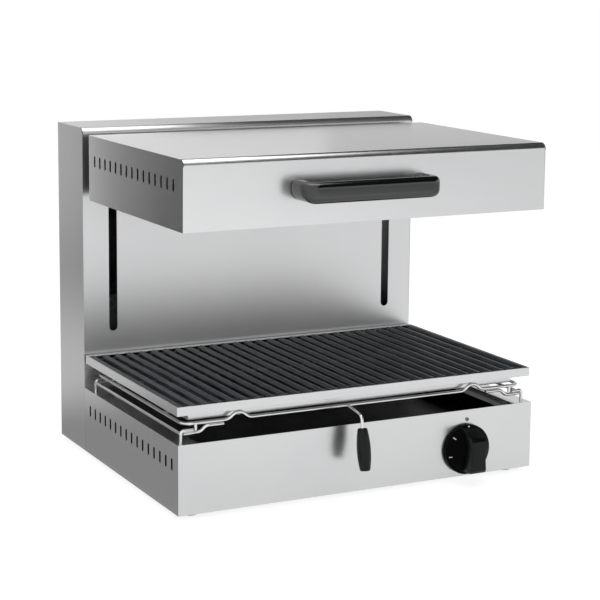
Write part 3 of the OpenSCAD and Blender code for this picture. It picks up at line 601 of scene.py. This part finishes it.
@dataclass(frozen=True)
class StrandedCable:
    """Steel cable whose twisted strands run round an upright line or over a pulley."""

    name: str
    tone: float = 0.55
    pitch: float = 420.0

    def build(self) -> bpy.types.Material:
        """Makes the material.

        Returns:
            The material.
        """
        material, g = new_material(self.name)
        wave = g.add("TexWave", wave_type="BANDS", bands_direction="DIAGONAL")
        g.set(wave, Scale=self.pitch, Distortion=0.6)
        g.link(g.coords(), wave.inputs["Vector"])
        t = self.tone
        # The grooves between the strands, where the bump is lowest, are darker: painted
        # shade.
        colour = g.ramp(
            wave.outputs["Fac"],
            [(0.0, (t * 0.45, t * 0.45, t * 0.46)), (0.6, (t, t, t))],
        )
        shader = g.shader(Metallic=1.0, Roughness=0.3)
        g.link(colour, shader.inputs["Base Color"])
        bump = g.bump(wave.outputs["Fac"], strength=0.5, distance=0.0002)
        g.link(bump, shader.inputs["Normal"])
        return material


@dataclass(frozen=True)
class Paint:
    """Printed or filled marks, a little uneven."""

    name: str
    colour: tuple[float, float, float] = (0.80, 0.80, 0.79)

    def build(self) -> bpy.types.Material:
        """Makes the material.

        Returns:
            The material.
        """
        material, g = new_material(self.name)
        uneven = g.noise(g.coords(), 700.0)
        r, gr, b = self.colour
        colour = g.ramp(
            uneven, [(0.25, (r * 0.82, gr * 0.82, b * 0.82)), (0.6, self.colour)]
        )
        shader = g.shader(Roughness=0.45)
        g.link(colour, shader.inputs["Base Color"])
        bump = g.bump(uneven, strength=0.15, distance=0.00003)
        g.link(bump, shader.inputs["Normal"])
        return material


@dataclass(frozen=True)
class LampLens:
    """The unlit pilot lamp: smoked red plastic with a ribbed inside."""

    name: str = "pilot_lens"

    def build(self) -> bpy.types.Material:
        """Makes the material.

        Returns:
            The material.
        """
        material, g = new_material(self.name)
        ribs = g.noise(g.coords(), 1100.0)
        colour = g.ramp(
            ribs, [(0.35, (0.10, 0.085, 0.08)), (0.65, (0.20, 0.17, 0.16))]
        )
        shader = g.shader(Roughness=0.12, Coat_Weight=0.6, Coat_Roughness=0.05)
        g.link(colour, shader.inputs["Base Color"])
        bump = g.bump(ribs, strength=0.2, distance=0.0001)
        g.link(bump, shader.inputs["Normal"])
        return material


# ---------------------------------------------------------------- mesh helpers


def mesh_piece(
    bm: bmesh.types.BMesh,
    name: str,
    material: bpy.types.Material,
    body: str,
    smooth_deg: float = 35.0,
) -> bpy.types.Object:
    """Turns a bmesh into a piece that rides on a body.

    Args:
        bm: The mesh, which is freed.
        name: The piece's name.
        material: Its material.
        body: The body that it rides on.
        smooth_deg: Edges sharper than this stay sharp.

    Returns:
        The new object.
    """
    mesh = bpy.data.meshes.new(name)
    bm.to_mesh(mesh)
    bm.free()
    mesh.shade_smooth()
    mesh.set_sharp_from_angle(angle=math.radians(smooth_deg))
    mesh.materials.append(material)
    obj = bpy.data.objects.new(name, mesh)
    bpy.context.scene.collection.objects.link(obj)
    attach(obj, body)
    log.info("piece %s: %d faces, rides on %s", name, len(mesh.polygons), body)
    return obj


def spun(profile: Iterable[tuple[float, float]], steps: int) -> bmesh.types.BMesh:
    """Spins a profile round the Z axis into a closed solid.

    Args:
        profile: Radius and height of each point, which starts and ends on the axis.
        steps: Steps round the axis.

    Returns:
        The bmesh, in the profile's own frame.
    """
    bm = bmesh.new()
    verts = [bm.verts.new((r, 0.0, z)) for r, z in profile]
    edges = [bm.edges.new(pair) for pair in zip(verts, verts[1:])]
    bmesh.ops.spin(
        bm,
        geom=verts + edges,
        cent=(0.0, 0.0, 0.0),
        axis=(0.0, 0.0, 1.0),
        angle=2.0 * math.pi,
        steps=steps,
        use_merge=True,
    )
    bmesh.ops.remove_doubles(bm, verts=bm.verts, dist=TINY)
    bmesh.ops.recalc_face_normals(bm, faces=bm.faces)
    return bm


def round_edges(
    bm: bmesh.types.BMesh, width: float, segments: int, angle_deg: float = 30.0
) -> None:
    """Rounds every edge that is sharper than an angle.

    Args:
        bm: The mesh.
        width: How far the rounding reaches from the edge, in metres.
        segments: Faces across the rounding.
        angle_deg: Only sharper edges are rounded.
    """
    sharp = [
        e
        for e in bm.edges
        if len(e.link_faces) == 2 and e.calc_face_angle(0.0) > math.radians(angle_deg)
    ]
    bmesh.ops.bevel(
        bm,
        geom=sharp,
        offset=width,
        offset_type="OFFSET",
        segments=segments,
        profile=0.5,
        affect="EDGES",
        clamp_overlap=True,
        material=-1,
    )


def cad_copy(node: bpy.types.Object) -> bmesh.types.BMesh:
    """A merged copy of a CAD node's mesh.

    Args:
        node: The CAD node.

    Returns:
        The copy, with its flat faces joined.
    """
    bm = bmesh.new()
    bm.from_mesh(node.data)
    bmesh.ops.remove_doubles(bm, verts=bm.verts, dist=MERGE)
    bmesh.ops.dissolve_limit(
        bm,
        angle_limit=math.radians(0.4),
        verts=bm.verts,
        edges=bm.edges,
        use_dissolve_boundaries=False,
    )
    return bm


# ---------------------------------------------------------------- studio


@dataclass(frozen=True)
class SoftBox:
    """A soft lamp.

    Args:
        name: Its name.
        place: Where it stands, in metres.
        aim: What it points at.
        size: Its width and height.
        power: Its power in watts.
        mirrored: Whether reflections show it.
    """

    name: str
    place: Place
    aim: Place
    size: tuple[float, float]
    power: float
    mirrored: bool


@dataclass(frozen=True)
class Card:
    """A glowing card that only reflections see.

    Args:
        name: Its name.
        low: Its lowest corner, in metres.
        high: Its highest corner.
        dark: Its glow up to near.
        light: Its glow from far on.
        near: Where it starts to pale, along Y.
        far: Where it is palest, along Y.
    """

    name: str
    low: Place
    high: Place
    dark: float
    light: float
    near: float = 0.0
    far: float = 1.0


MIDDLE = (0.0, 0.0, 0.25)  # the object's middle, in metres

SOFT_BOXES = (
    SoftBox(
        "overhead", (0.08, -0.15, 2.3), (0.08, -0.1499, 0.3), (1.6, 1.7), 14.0, True
    ),
    SoftBox("front", (1.4, -3.2, 1.5), MIDDLE, (1.6, 1.6), 22.0, False),
    SoftBox("left", (-2.6, -1.6, 1.3), MIDDLE, (1.2, 1.2), 6.0, False),
)

CARDS = (
    Card(
        "card_left",
        (-1.0, 0.30, 0.004),
        (-1.0, 3.2, 1.5),
        dark=0.09,
        light=1.05,
        near=2.00,
        far=2.08,
    ),
    Card(
        "card_floor_left",
        (-0.99, -0.3, 0.002),
        (-0.305, 3.0, 0.002),
        dark=0.29,
        light=0.66,
        near=0.36,
        far=0.62,
    ),
    Card("card_overhead_right", (0.84, -6.0, 2.31), (7.0, 6.0, 2.31), 0.02, 0.02),
    Card("card_over_column", (0.03, -0.10, 0.93), (1.6, 1.2, 0.93), 0.02, 0.02),
    Card("card_floor_far", (-0.985, 1.0, 0.003), (-0.76, 2.0, 0.003), 0.20, 0.20),
    Card("card_behind_right", (0.90, 1.6, 0.56), (3.4, 1.6, 1.6), 0.78, 0.78),
)


@dataclass
class Studio:
    """The camera, the lamps, the white surround, the floor and the cards.

    Args:
        place: The camera's place, in metres.
        yaw_deg: Its turn to the right from +Y.
        pitch_deg: Its tilt, upwards.
        roll_deg: Its roll.
        lens: Its focal length in mm.
        shift_y: Its shift.
        ambient: The plain level of the surround.
        floor_glow: The floor's own white, for the camera and reflections.
        floor_half: Half of the floor's width.
        side_start: Where reflections of the floor start to darken, along X.
        side_end: Where they are darkest.
        side_loss: How much they lose there.
        foot_start: Where they start to darken towards the object, along Y.
        foot_end: Where they are darkest.
        foot_loss: How much they lose there.
    """

    place: Place = (-1.2575, -2.4656, 0.7952)
    yaw_deg: float = 27.116
    pitch_deg: float = -9.034
    roll_deg: float = 0.516
    lens: float = 106.47
    shift_y: float = -0.1
    ambient: float = 0.55
    floor_glow: float = 0.77
    floor_half: float = 30.0
    side_start: float = 0.95
    side_end: float = 1.6
    side_loss: float = 0.28
    foot_start: float = -1.8
    foot_end: float = -1.0
    foot_loss: float = 0.22

    def build(self) -> None:
        """Makes everything round the object."""
        self.camera()
        self.world()
        self.floor()
        self.lamps()
        self.cards()

    def camera(self) -> None:
        """Places the camera as the photograph was taken."""
        yaw, pitch, roll = (
            math.radians(a) for a in (self.yaw_deg, self.pitch_deg, self.roll_deg)
        )
        ahead = Vector(
            (
                math.sin(yaw) * math.cos(pitch),
                math.cos(yaw) * math.cos(pitch),
                math.sin(pitch),
            )
        )
        level = Vector((math.cos(yaw), -math.sin(yaw), 0.0))
        above = level.cross(ahead)
        right = math.cos(roll) * level + math.sin(roll) * above
        up = -math.sin(roll) * level + math.cos(roll) * above
        turn = Matrix((right, up, -ahead)).transposed().to_4x4()
        data = bpy.data.cameras.new("camera")
        data.lens, data.sensor_width, data.shift_y = self.lens, 36.0, self.shift_y
        data.clip_end = 100.0
        camera = bpy.data.objects.new("camera", data)
        camera.matrix_world = Matrix.Translation(self.place) @ turn
        bpy.context.scene.collection.objects.link(camera)
        bpy.context.scene.camera = camera
        bpy.context.scene.view_settings.view_transform = "Standard"

    def world(self) -> None:
        """White for the camera and for reflections, a plain level for the rest."""
        world = bpy.data.worlds.new("surround")
        world.use_nodes = True
        bpy.context.scene.world = world
        g = Graph(world.node_tree)
        path = g.add("LightPath").outputs
        seen = g.calc("MAXIMUM", path["Is Camera Ray"], path["Is Glossy Ray"])
        seen = g.calc("MAXIMUM", seen, path["Is Transmission Ray"])
        plain = g.set(
            g.add("Background"), Color=(0.96, 0.98, 1.0, 1.0), Strength=self.ambient
        )
        white = g.set(g.add("Background"), Color=(1.0, 1.0, 1.0, 1.0), Strength=1.0)
        mix = g.add("MixShader")
        g.link(seen, mix.inputs["Fac"])
        g.link(plain.outputs[0], mix.inputs[1])
        g.link(white.outputs[0], mix.inputs[2])
        out = g.add("OutputWorld")
        g.link(mix.outputs[0], out.inputs["Surface"])

    def floor(self) -> None:
        """A wide pale floor that keeps a soft shadow."""
        material, g = new_material("studio_floor")
        path = g.add("LightPath").outputs
        seen = g.calc("MAXIMUM", path["Is Camera Ray"], path["Is Glossy Ray"])
        paper = g.noise(g.coords(), 3.0, 2.0)
        tone = g.ramp(paper, [(0.3, (0.44, 0.44, 0.44)), (0.7, (0.45, 0.45, 0.45))])
        matt = g.add("BsdfDiffuse")
        g.link(tone, matt.inputs["Color"])
        side = g.span(g.place("X"), 0.0, self.side_loss, self.side_start, self.side_end)
        foot = g.span(g.place("Y"), 0.0, self.foot_loss, self.foot_start, self.foot_end)
        loss = g.calc("MULTIPLY", g.calc("ADD", side, foot), path["Is Glossy Ray"])
        glow = g.set(g.add("Emission"), Color=(1.0, 1.0, 1.0, 1.0))
        g.link(g.calc("SUBTRACT", self.floor_glow, loss), glow.inputs["Strength"])
        both = g.add("AddShader")
        g.link(matt.outputs[0], both.inputs[0])
        g.link(glow.outputs[0], both.inputs[1])
        plain = g.set(g.add("BsdfDiffuse"), Color=(0.75, 0.75, 0.75, 1.0))
        mix = g.add("MixShader")
        g.link(seen, mix.inputs["Fac"])
        g.link(plain.outputs[0], mix.inputs[1])
        g.link(both.outputs[0], mix.inputs[2])
        out = g.add("OutputMaterial")
        g.link(mix.outputs[0], out.inputs["Surface"])
        bm = bmesh.new()
        bmesh.ops.create_grid(bm, x_segments=2, y_segments=2, size=self.floor_half)
        self.stand("floor", bm, material)

    def stand(
        self, name: str, bm: bmesh.types.BMesh, material: bpy.types.Material
    ) -> bpy.types.Object:
        """Puts a piece of the studio in the scene.

        Args:
            name: Its name.
            bm: Its mesh, which is freed.
            material: Its material.

        Returns:
            The object.
        """
        mesh = bpy.data.meshes.new(name)
        bm.to_mesh(mesh)
        bm.free()
        mesh.materials.append(material)
        obj = bpy.data.objects.new(name, mesh)
        bpy.context.scene.collection.objects.link(obj)
        log.info("stage %s", name)
        return obj

    def lamps(self) -> None:
        """A soft box overhead, a strong soft front light and a weak one at the left."""
        for box in SOFT_BOXES:
            data = bpy.data.lights.new(box.name, "AREA")
            data.shape, data.size, data.size_y = "RECTANGLE", box.size[0], box.size[1]
            data.energy = box.power
            lamp = bpy.data.objects.new(box.name, data)
            way = Vector(box.aim) - Vector(box.place)
            turn = way.to_track_quat("-Z", "Y").to_matrix().to_4x4()
            lamp.matrix_world = Matrix.Translation(box.place) @ turn
            lamp.visible_glossy = box.mirrored
            bpy.context.scene.collection.objects.link(lamp)

    def shade(self, card: Card) -> bpy.types.Material:
        """A card's material, which pales along the depth of the studio.

        Args:
            card: The card.

        Returns:
            The material.
        """
        material, g = new_material(f"{card.name}_glow")
        glow = g.add("Emission")
        level = g.span(g.place("Y"), card.dark, card.light, card.near, card.far)
        g.link(level, glow.inputs["Strength"])
        out = g.add("OutputMaterial")
        g.link(glow.outputs[0], out.inputs["Surface"])
        return material

    def cards(self) -> None:
        """Sets up the cards, without which the steel would mirror nothing but white."""
        for card in CARDS:
            bm = bmesh.new()
            bmesh.ops.create_grid(bm, x_segments=1, y_segments=1, size=0.5)
            low, high = Vector(card.low), Vector(card.high)
            span = high - low
            for width, axis in ((span.x, "Y"), (span.y, "X")):
                if width < TINY:
                    upright = Matrix.Rotation(math.pi / 2, 3, axis)
                    bmesh.ops.rotate(bm, verts=bm.verts, matrix=upright)
            bmesh.ops.scale(bm, verts=bm.verts, vec=[max(s, 1e-4) for s in span])
            bmesh.ops.translate(bm, verts=bm.verts, vec=(low + high) / 2)
            piece = self.stand(card.name, bm, self.shade(card))
            piece.visible_camera = False
            piece.visible_diffuse = False
            piece.visible_shadow = False
            piece.visible_transmission = False


# ---------------------------------------------------------------- the object


@dataclass
class Sheets:
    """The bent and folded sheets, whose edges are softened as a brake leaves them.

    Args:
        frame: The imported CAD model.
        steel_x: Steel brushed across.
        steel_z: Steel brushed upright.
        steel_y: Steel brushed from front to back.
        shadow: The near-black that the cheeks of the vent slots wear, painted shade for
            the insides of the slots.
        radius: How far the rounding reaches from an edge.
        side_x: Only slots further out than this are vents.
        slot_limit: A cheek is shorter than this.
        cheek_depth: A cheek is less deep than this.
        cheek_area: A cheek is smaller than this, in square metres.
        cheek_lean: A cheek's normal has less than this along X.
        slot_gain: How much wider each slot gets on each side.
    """

    frame: dict
    steel_x: bpy.types.Material
    steel_z: bpy.types.Material
    steel_y: bpy.types.Material
    shadow: bpy.types.Material
    radius: float = 0.45 * MM
    side_x: float = 285.0 * MM
    slot_limit: float = 20.0 * MM
    cheek_depth: float = 2.0 * MM
    cheek_area: float = 0.00004
    cheek_lean: float = 0.1
    slot_gain: float = 0.7 * MM

    def build(self) -> None:
        """Replaces the sheets that show by copies with soft edges."""
        for name, body, material in (
            ("base_shell", "body", self.steel_x),
            ("column_wrap", "body", self.steel_z),
            ("column_side_left", "body", self.steel_z),
            ("column_side_right", "body", self.steel_z),
            ("hood_shell", "hood", self.steel_x),
            ("hood_side_left", "hood", self.steel_y),
            ("hood_side_right", "hood", self.steel_y),
            ("grate_frame", "grate", self.steel_x),
        ):
            self.soften(name, body, material)

    def is_cheek(self, face: bmesh.types.BMFace) -> bool:
        """Tells whether a face is a cheek of a vent slot.

        Args:
            face: The face.

        Returns:
            True for a cheek.
        """
        x, y, z = (
            max(v.co[i] for v in face.verts) - min(v.co[i] for v in face.verts)
            for i in range(3)
        )
        return (
            face.normal.length > 0.0
            and abs(face.normal.x) < self.cheek_lean
            and abs(face.calc_center_median().x) > self.side_x
            and face.calc_area() < self.cheek_area
            and x < self.cheek_depth
            and max(y, z) < self.slot_limit
        )

    def open_vents(self, bm: bmesh.types.BMesh) -> None:
        """Paints the cheeks of the vent slots near-black as painted shade, and widens the
        slots a little.

        Args:
            bm: The sheet's mesh.
        """
        left: set[bmesh.types.BMVert] = set()
        for face in filter(self.is_cheek, bm.faces):
            # painted shade: each cheek takes the near-black second material
            face.material_index = 1
            left.update(face.verts)
        while left:
            ring, front = set(), [left.pop()]
            while front:
                vert = front.pop()
                ring.add(vert)
                for edge in vert.link_edges:
                    other = edge.other_vert(vert)
                    if other in left:
                        left.discard(other)
                        front.append(other)
            middle = sum(v.co.y for v in ring) / len(ring)
            half = max(TINY, max(v.co.y for v in ring) - middle)
            for vert in ring:
                vert.co.y += self.slot_gain * (vert.co.y - middle) / half

    def soften(self, name: str, body: str, material: bpy.types.Material) -> None:
        """Replaces one CAD sheet by a copy with rounded edges.

        Args:
            name: The CAD node.
            body: The body that it rides on.
            material: Its material.
        """
        bm = cad_copy(self.frame["nodes"][name])
        self.open_vents(bm)
        round_edges(bm, self.radius, 2)
        piece = mesh_piece(bm, f"{name}_sheet", material, body)
        piece.data.materials.append(self.shadow)
        level = piece.modifiers.new("flat_faces", "WEIGHTED_NORMAL")
        level.weight, level.keep_sharp = 100, True
        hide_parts(name)


@dataclass
class Knob:
    """The thermostat knob: skirt, dome, grip, ticks and pointer.

    Args:
        centre: Where its axis meets the front panel.
        plastic: What the skirt and dome are made of: black plastic whose reflection is
            turned nearly off, partly its own black and partly painted shade.
        sheen: What the grip is made of.
        paint: What the ticks and the pointer wear.
        skirt_r: The skirt's radius.
        back: Its gap to the panel.
        skirt_t: Its thickness.
        edge: The rounding of its front edge.
        chamfer: The chamfer of its back edge.
        dome_h: The dome's height over the skirt.
        grip_out: The grip's height over the skirt.
        grip_w: The grip's width at its ends.
        waist: How wide the grip's middle is, as a share of its ends.
        grip_round: The rounding of its edges.
        tick_step_deg: The angle from tick to tick.
        tick: The length and width of a tick.
        pointer: The length and width of the pointer.
    """

    centre: Vector
    plastic: bpy.types.Material
    sheen: bpy.types.Material
    paint: bpy.types.Material
    skirt_r: float = 39.0 * MM
    back: float = 1.2 * MM
    skirt_t: float = 7.0 * MM
    edge: float = 1.5 * MM
    chamfer: float = 0.4 * MM
    dome_h: float = 15.0 * MM
    grip_out: float = 31.5 * MM
    grip_w: float = 27.0 * MM
    waist: float = 0.90
    grip_round: float = 2.0 * MM
    tick_step_deg: float = 360.0 / 7.0
    tick: tuple[float, float] = (5.5 * MM, 1.3 * MM)
    pointer: tuple[float, float] = (5.0 * MM, 2.8 * MM)

    def upright(self, bm: bmesh.types.BMesh) -> None:
        """Turns a bmesh made along +Z so that it stands out of the front panel.

        Args:
            bm: The mesh.
        """
        turn = Matrix.Rotation(math.pi / 2, 3, "X")
        bmesh.ops.rotate(bm, verts=bm.verts, cent=(0, 0, 0), matrix=turn)
        bmesh.ops.translate(bm, verts=bm.verts, vec=self.centre)

    def dome_height(self, radius: float) -> float:
        """The dome's height over the skirt's face at a radius, in metres."""
        reach = self.skirt_r - self.edge
        return self.dome_h * max(0.0, 1.0 - (radius / reach) ** 2)

    def build(self) -> None:
        """Makes the knob's pieces."""
        face, edge = self.back + self.skirt_t, self.edge
        reach = self.skirt_r - edge
        profile = [
            (0.0, self.back),
            (self.skirt_r - self.chamfer, self.back),
            (self.skirt_r, self.back + self.chamfer),
        ]
        for i in range(7):
            a = math.radians(90.0 * i / 6)
            r, z = reach + edge * math.cos(a), face - edge + edge * math.sin(a)
            profile.append((r, z))
        for i in range(1, 15):
            r = reach * (1.0 - i / 14)
            profile.append((r, face + self.dome_height(r)))
        bm = spun(profile, 96)
        self.upright(bm)
        body = mesh_piece(bm, "knob_body", self.plastic, "knob")
        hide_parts("knob")
        self.grip(face)
        self.marks(face)

    def grip(self, face: float) -> None:
        """Makes the grip, which slopes down to the pointer end.

        Args:
            face: Height of the skirt's face.
        """
        end = face + self.grip_out
        root = face - 1 * MM
        heel, toe = -self.skirt_r + 9 * MM, self.skirt_r - 2.8 * MM
        outline = [
            (heel, root),
            (heel, end - 3 * MM),
            (heel + 4 * MM, end),
            (self.skirt_r - 20 * MM, end),
            (self.skirt_r - 14.5 * MM, end - 3 * MM),
            (toe, face + 1.2 * MM),
            (toe, root),
        ]
        bm = bmesh.new()
        verts = [bm.verts.new((-self.grip_w / 2, y, z)) for y, z in outline]
        side = bm.faces.new(verts)
        out = bmesh.ops.extrude_face_region(bm, geom=[side])
        moved = [v for v in out["geom"] if isinstance(v, bmesh.types.BMVert)]
        bmesh.ops.translate(bm, verts=moved, vec=(self.grip_w, 0, 0))
        bmesh.ops.recalc_face_normals(bm, faces=bm.faces)
        flat = [e for e in bm.edges if abs(e.verts[0].co.x - e.verts[1].co.x) < TINY]
        bmesh.ops.subdivide_edges(bm, edges=flat, cuts=5, use_grid_fill=True)
        for v in bm.verts:
            share = min(1.0, abs(v.co.y / heel))
            v.co.x *= self.waist + (1.0 - self.waist) * share**2
        round_edges(bm, self.grip_round, 4, 40.0)
        self.upright(bm)
        mesh_piece(bm, "knob_grip", self.sheen, "knob")

    def marks(self, face: float) -> None:
        """Makes the painted ticks and the pointer.

        Args:
            face: Height of the skirt's face.
        """
        bm = bmesh.new()
        for i in (1, 2):
            angle_deg = i * self.tick_step_deg
            self.mark(bm, angle_deg, self.skirt_r - 5.2 * MM, self.tick, face)
        self.mark(bm, 0.0, self.skirt_r - 3.6 * MM, self.pointer, face)
        self.upright(bm)
        mesh_piece(bm, "knob_marks", self.paint, "knob")

    def mark(
        self,
        bm: bmesh.types.BMesh,
        angle_deg: float,
        r_mid: float,
        size: tuple[float, float],
        face: float,
    ) -> None:
        """Adds one mark, a thin plate that lies sunk in the dome's slope.

        Args:
            bm: The mesh to add to.
            angle_deg: Its angle from the pointer, against the clock.
            r_mid: Radius of its middle.
            size: Its length along the radius and its width.
            face: Height of the skirt's face.
        """
        length, width = size
        made = bmesh.ops.create_cube(bm, size=1.0)["verts"]
        bmesh.ops.scale(bm, verts=made, vec=(width, length, 0.5 * MM))
        inner, outer = (self.dome_height(r_mid + k * length / 2) for k in (-1, 1))
        tilt = -math.atan2(inner - outer, length)
        bmesh.ops.rotate(bm, verts=made, matrix=Matrix.Rotation(tilt, 3, "X"))
        height = face + self.dome_height(r_mid) - 0.1 * MM
        bmesh.ops.translate(bm, verts=made, vec=(0.0, r_mid, height))
        turn = Matrix.Rotation(math.radians(angle_deg), 3, "Z")
        bmesh.ops.rotate(bm, verts=made, cent=(0, 0, 0), matrix=turn)


@dataclass
class Handles:
    """The hood's bow handle and the carrier's grip, moulded with soft edges.

    Args:
        frame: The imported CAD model.
        gloss: What the bow handle is made of.
        sheen: What the grip is made of.
        bow_voxel: How fine the bow handle's mesh is.
        bow_passes: How often its edges are eased.
        grip_voxel: How fine the grip's mesh is.
        grip_passes: How often its edges are eased.
    """

    frame: dict
    gloss: bpy.types.Material
    sheen: bpy.types.Material
    bow_voxel: float = 1.5 * MM
    bow_passes: int = 30
    grip_voxel: float = 0.9 * MM
    grip_passes: int = 14

    def build(self) -> None:
        """Replaces both handles by copies whose edges are blended."""
        for name, body, plastic, voxel, passes in (
            ("bow_handle", "hood", self.gloss, self.bow_voxel, self.bow_passes),
            ("carrier_grip", "carrier", self.sheen, self.grip_voxel, self.grip_passes),
        ):
            bm = bmesh.new()
            bm.from_mesh(self.frame["nodes"][name].data)
            bmesh.ops.remove_doubles(bm, verts=bm.verts, dist=MERGE)
            piece = mesh_piece(bm, f"{name}_moulded", plastic, body, 60.0)
            grid = piece.modifiers.new("even_grid", "REMESH")
            grid.mode, grid.voxel_size, grid.use_smooth_shade = "VOXEL", voxel, True
            ease = piece.modifiers.new("blend_edges", "SMOOTH")
            ease.factor, ease.iterations = 0.5, passes
            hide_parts(name)


@dataclass
class Dresser:
    """Gives each CAD node that still shows its finish."""

    frame: dict

    def wear(self, material: bpy.types.Material, *nodes: str) -> None:
        """Puts a material on CAD nodes.

        Args:
            material: The material.
            *nodes: Names of the nodes.
        """
        for name in nodes:
            node = self.frame["nodes"][name]
            for slot in node.material_slots:
                slot.material = material
            if not node.material_slots:
                node.data.materials.append(material)
        log.info("finish %s on %s", material.name, ", ".join(nodes))


def main() -> None:
    """Builds the scene: the studio, the dressed CAD nodes and the new pieces."""
    logging.basicConfig(level=logging.INFO, format="%(message)s")
    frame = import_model()
    Studio().build()

    steel_x = BrushedSteel("steel_brushed_across", Grain.X, Grain.Y).build()
    steel_y = BrushedSteel(
        "steel_brushed_deep", Grain.Y, Grain.X, roughness=0.20
    ).build()
    steel_z = BrushedSteel(
        "steel_brushed_upright", Grain.Z, Grain.X, 0.745, 0.33, 0.006
    ).build()
    wire = PolishedWire("wire_plated").build()
    rod = PolishedWire("rod_ground", 0.72, 0.12).build()
    zinc = ZincPlate("sheet_zinc").build()
    screw = PolishedWire("screw_zinc", 0.60, 0.28).build()
    gloss = MouldedPlastic(
        "plastic_gloss", (0.003, 0.0035, 0.004), 0.10, 500.0, 0.00001, level=0.9
    ).build()
    # Black plastic with its reflection turned nearly off, darker than the knob's grip:
    # partly its own black, partly painted shade on the knob's skirt and dome.
    satin = MouldedPlastic(
        "plastic_satin_shaded", (0.0012, 0.0014, 0.0016), 0.24, level=0.03
    ).build()
    sheen = MouldedPlastic(
        "plastic_sheen", (0.003, 0.0035, 0.004), 0.22, level=0.24
    ).build()
    dull = MouldedPlastic("plastic_dull", (0.03, 0.03, 0.032), 0.5).build()
    enamel = CastEnamel("ribs_enamel").build()
    # Near-black, with its reflection turned low: painted shade for the drip tray under
    # the grate, the hood's back panel and the vent cheeks.
    painted_shade = CastEnamel(
        "black_painted_shade", (0.001, 0.001, 0.0014), (0.003, 0.003, 0.003), 0.34, level=0.2
    ).build()
    wool = Fibre("wool_mineral").build()
    ceramic = Fibre("ceramic_white", (0.80, 0.79, 0.75), 500.0, 0.0001).build()
    foot = MouldedPlastic("foot_nylon", (0.55, 0.55, 0.54), 0.45, 600.0).build()
    brass = PolishedWire("bush_bronze", 0.62, 0.3).build()
    cable = StrandedCable("cable_steel").build()
    lead = MouldedPlastic("lead_silicone", (0.30, 0.30, 0.30), 0.55, 700.0).build()
    wiring = MouldedPlastic("wiring_red", (0.22, 0.03, 0.025), 0.45, 700.0).build()
    tube = PolishedWire("tube_oxidised", 0.30, 0.36).build()
    paint = Paint("paint_white").build()

    wear = Dresser(frame).wear
    wear(zinc, "bottom_plate", "tray_rail_left", "tray_rail_right", "lower_bracket")
    wear(zinc, "top_crossbeam", "pulley_brackets", "weight_guides", "rod_collars")
    wear(zinc, "lift_arm_left", "lift_arm_right", "carriage_left", "carriage_right")
    wear(zinc, "element_hangers", "counterweight")
    # painted shade: the drip tray and the hood's back panel wear the near-black
    wear(painted_shade, "drip_tray", "hood_back_panel")
    wear(steel_x, "rear_cover", "reflector")
    wear(screw, "cover_screws", "foot_screws", "arm_bolts", "handle_screws")
    wear(screw, "switch_shaft")
    wear(foot, "feet")
    wear(rod, "guide_rod_left", "guide_rod_right")
    wear(cable, "front_cables", "pulley_cables", "rear_cables")
    wear(wire, "rack_support_left", "rack_support_right")
    wear(wire, "carrier_frame", "carrier_handle")
    wear(dull, "control_switch", "cable_gland", "pulley_left", "pulley_right")
    wear(LampLens().build(), "pilot_lamp")
    wear(ceramic, "terminal_block", "element_terminals")
    wear(wiring, "base_wiring")
    wear(lead, "flex_lead")
    wear(wool, "insulation_pad")
    wear(tube, "heating_element_1", "heating_element_2", "heating_element_3")
    wear(brass, "guide_bushes")
    wear(gloss, "bow_handle", "carrier_grip")
    wear(enamel, "grate_ribs", "grate_tie_rods")
    wear(steel_x, "base_shell", "hood_shell", "grate_frame")
    wear(steel_z, "column_wrap", "column_side_left", "column_side_right")
    wear(steel_y, "hood_side_left", "hood_side_right")

    # painted shade: the vent cheeks wear the near-black as well
    Sheets(frame, steel_x, steel_z, steel_y, painted_shade).build()
    Handles(frame, gloss, sheen).build()
    low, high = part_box("knob")
    centre = Vector(((low.x + high.x) / 2, PANEL_Y, (low.z + high.z) / 2))
    Knob(centre, satin, sheen, paint).build()


if __name__ == "__main__":
    main()
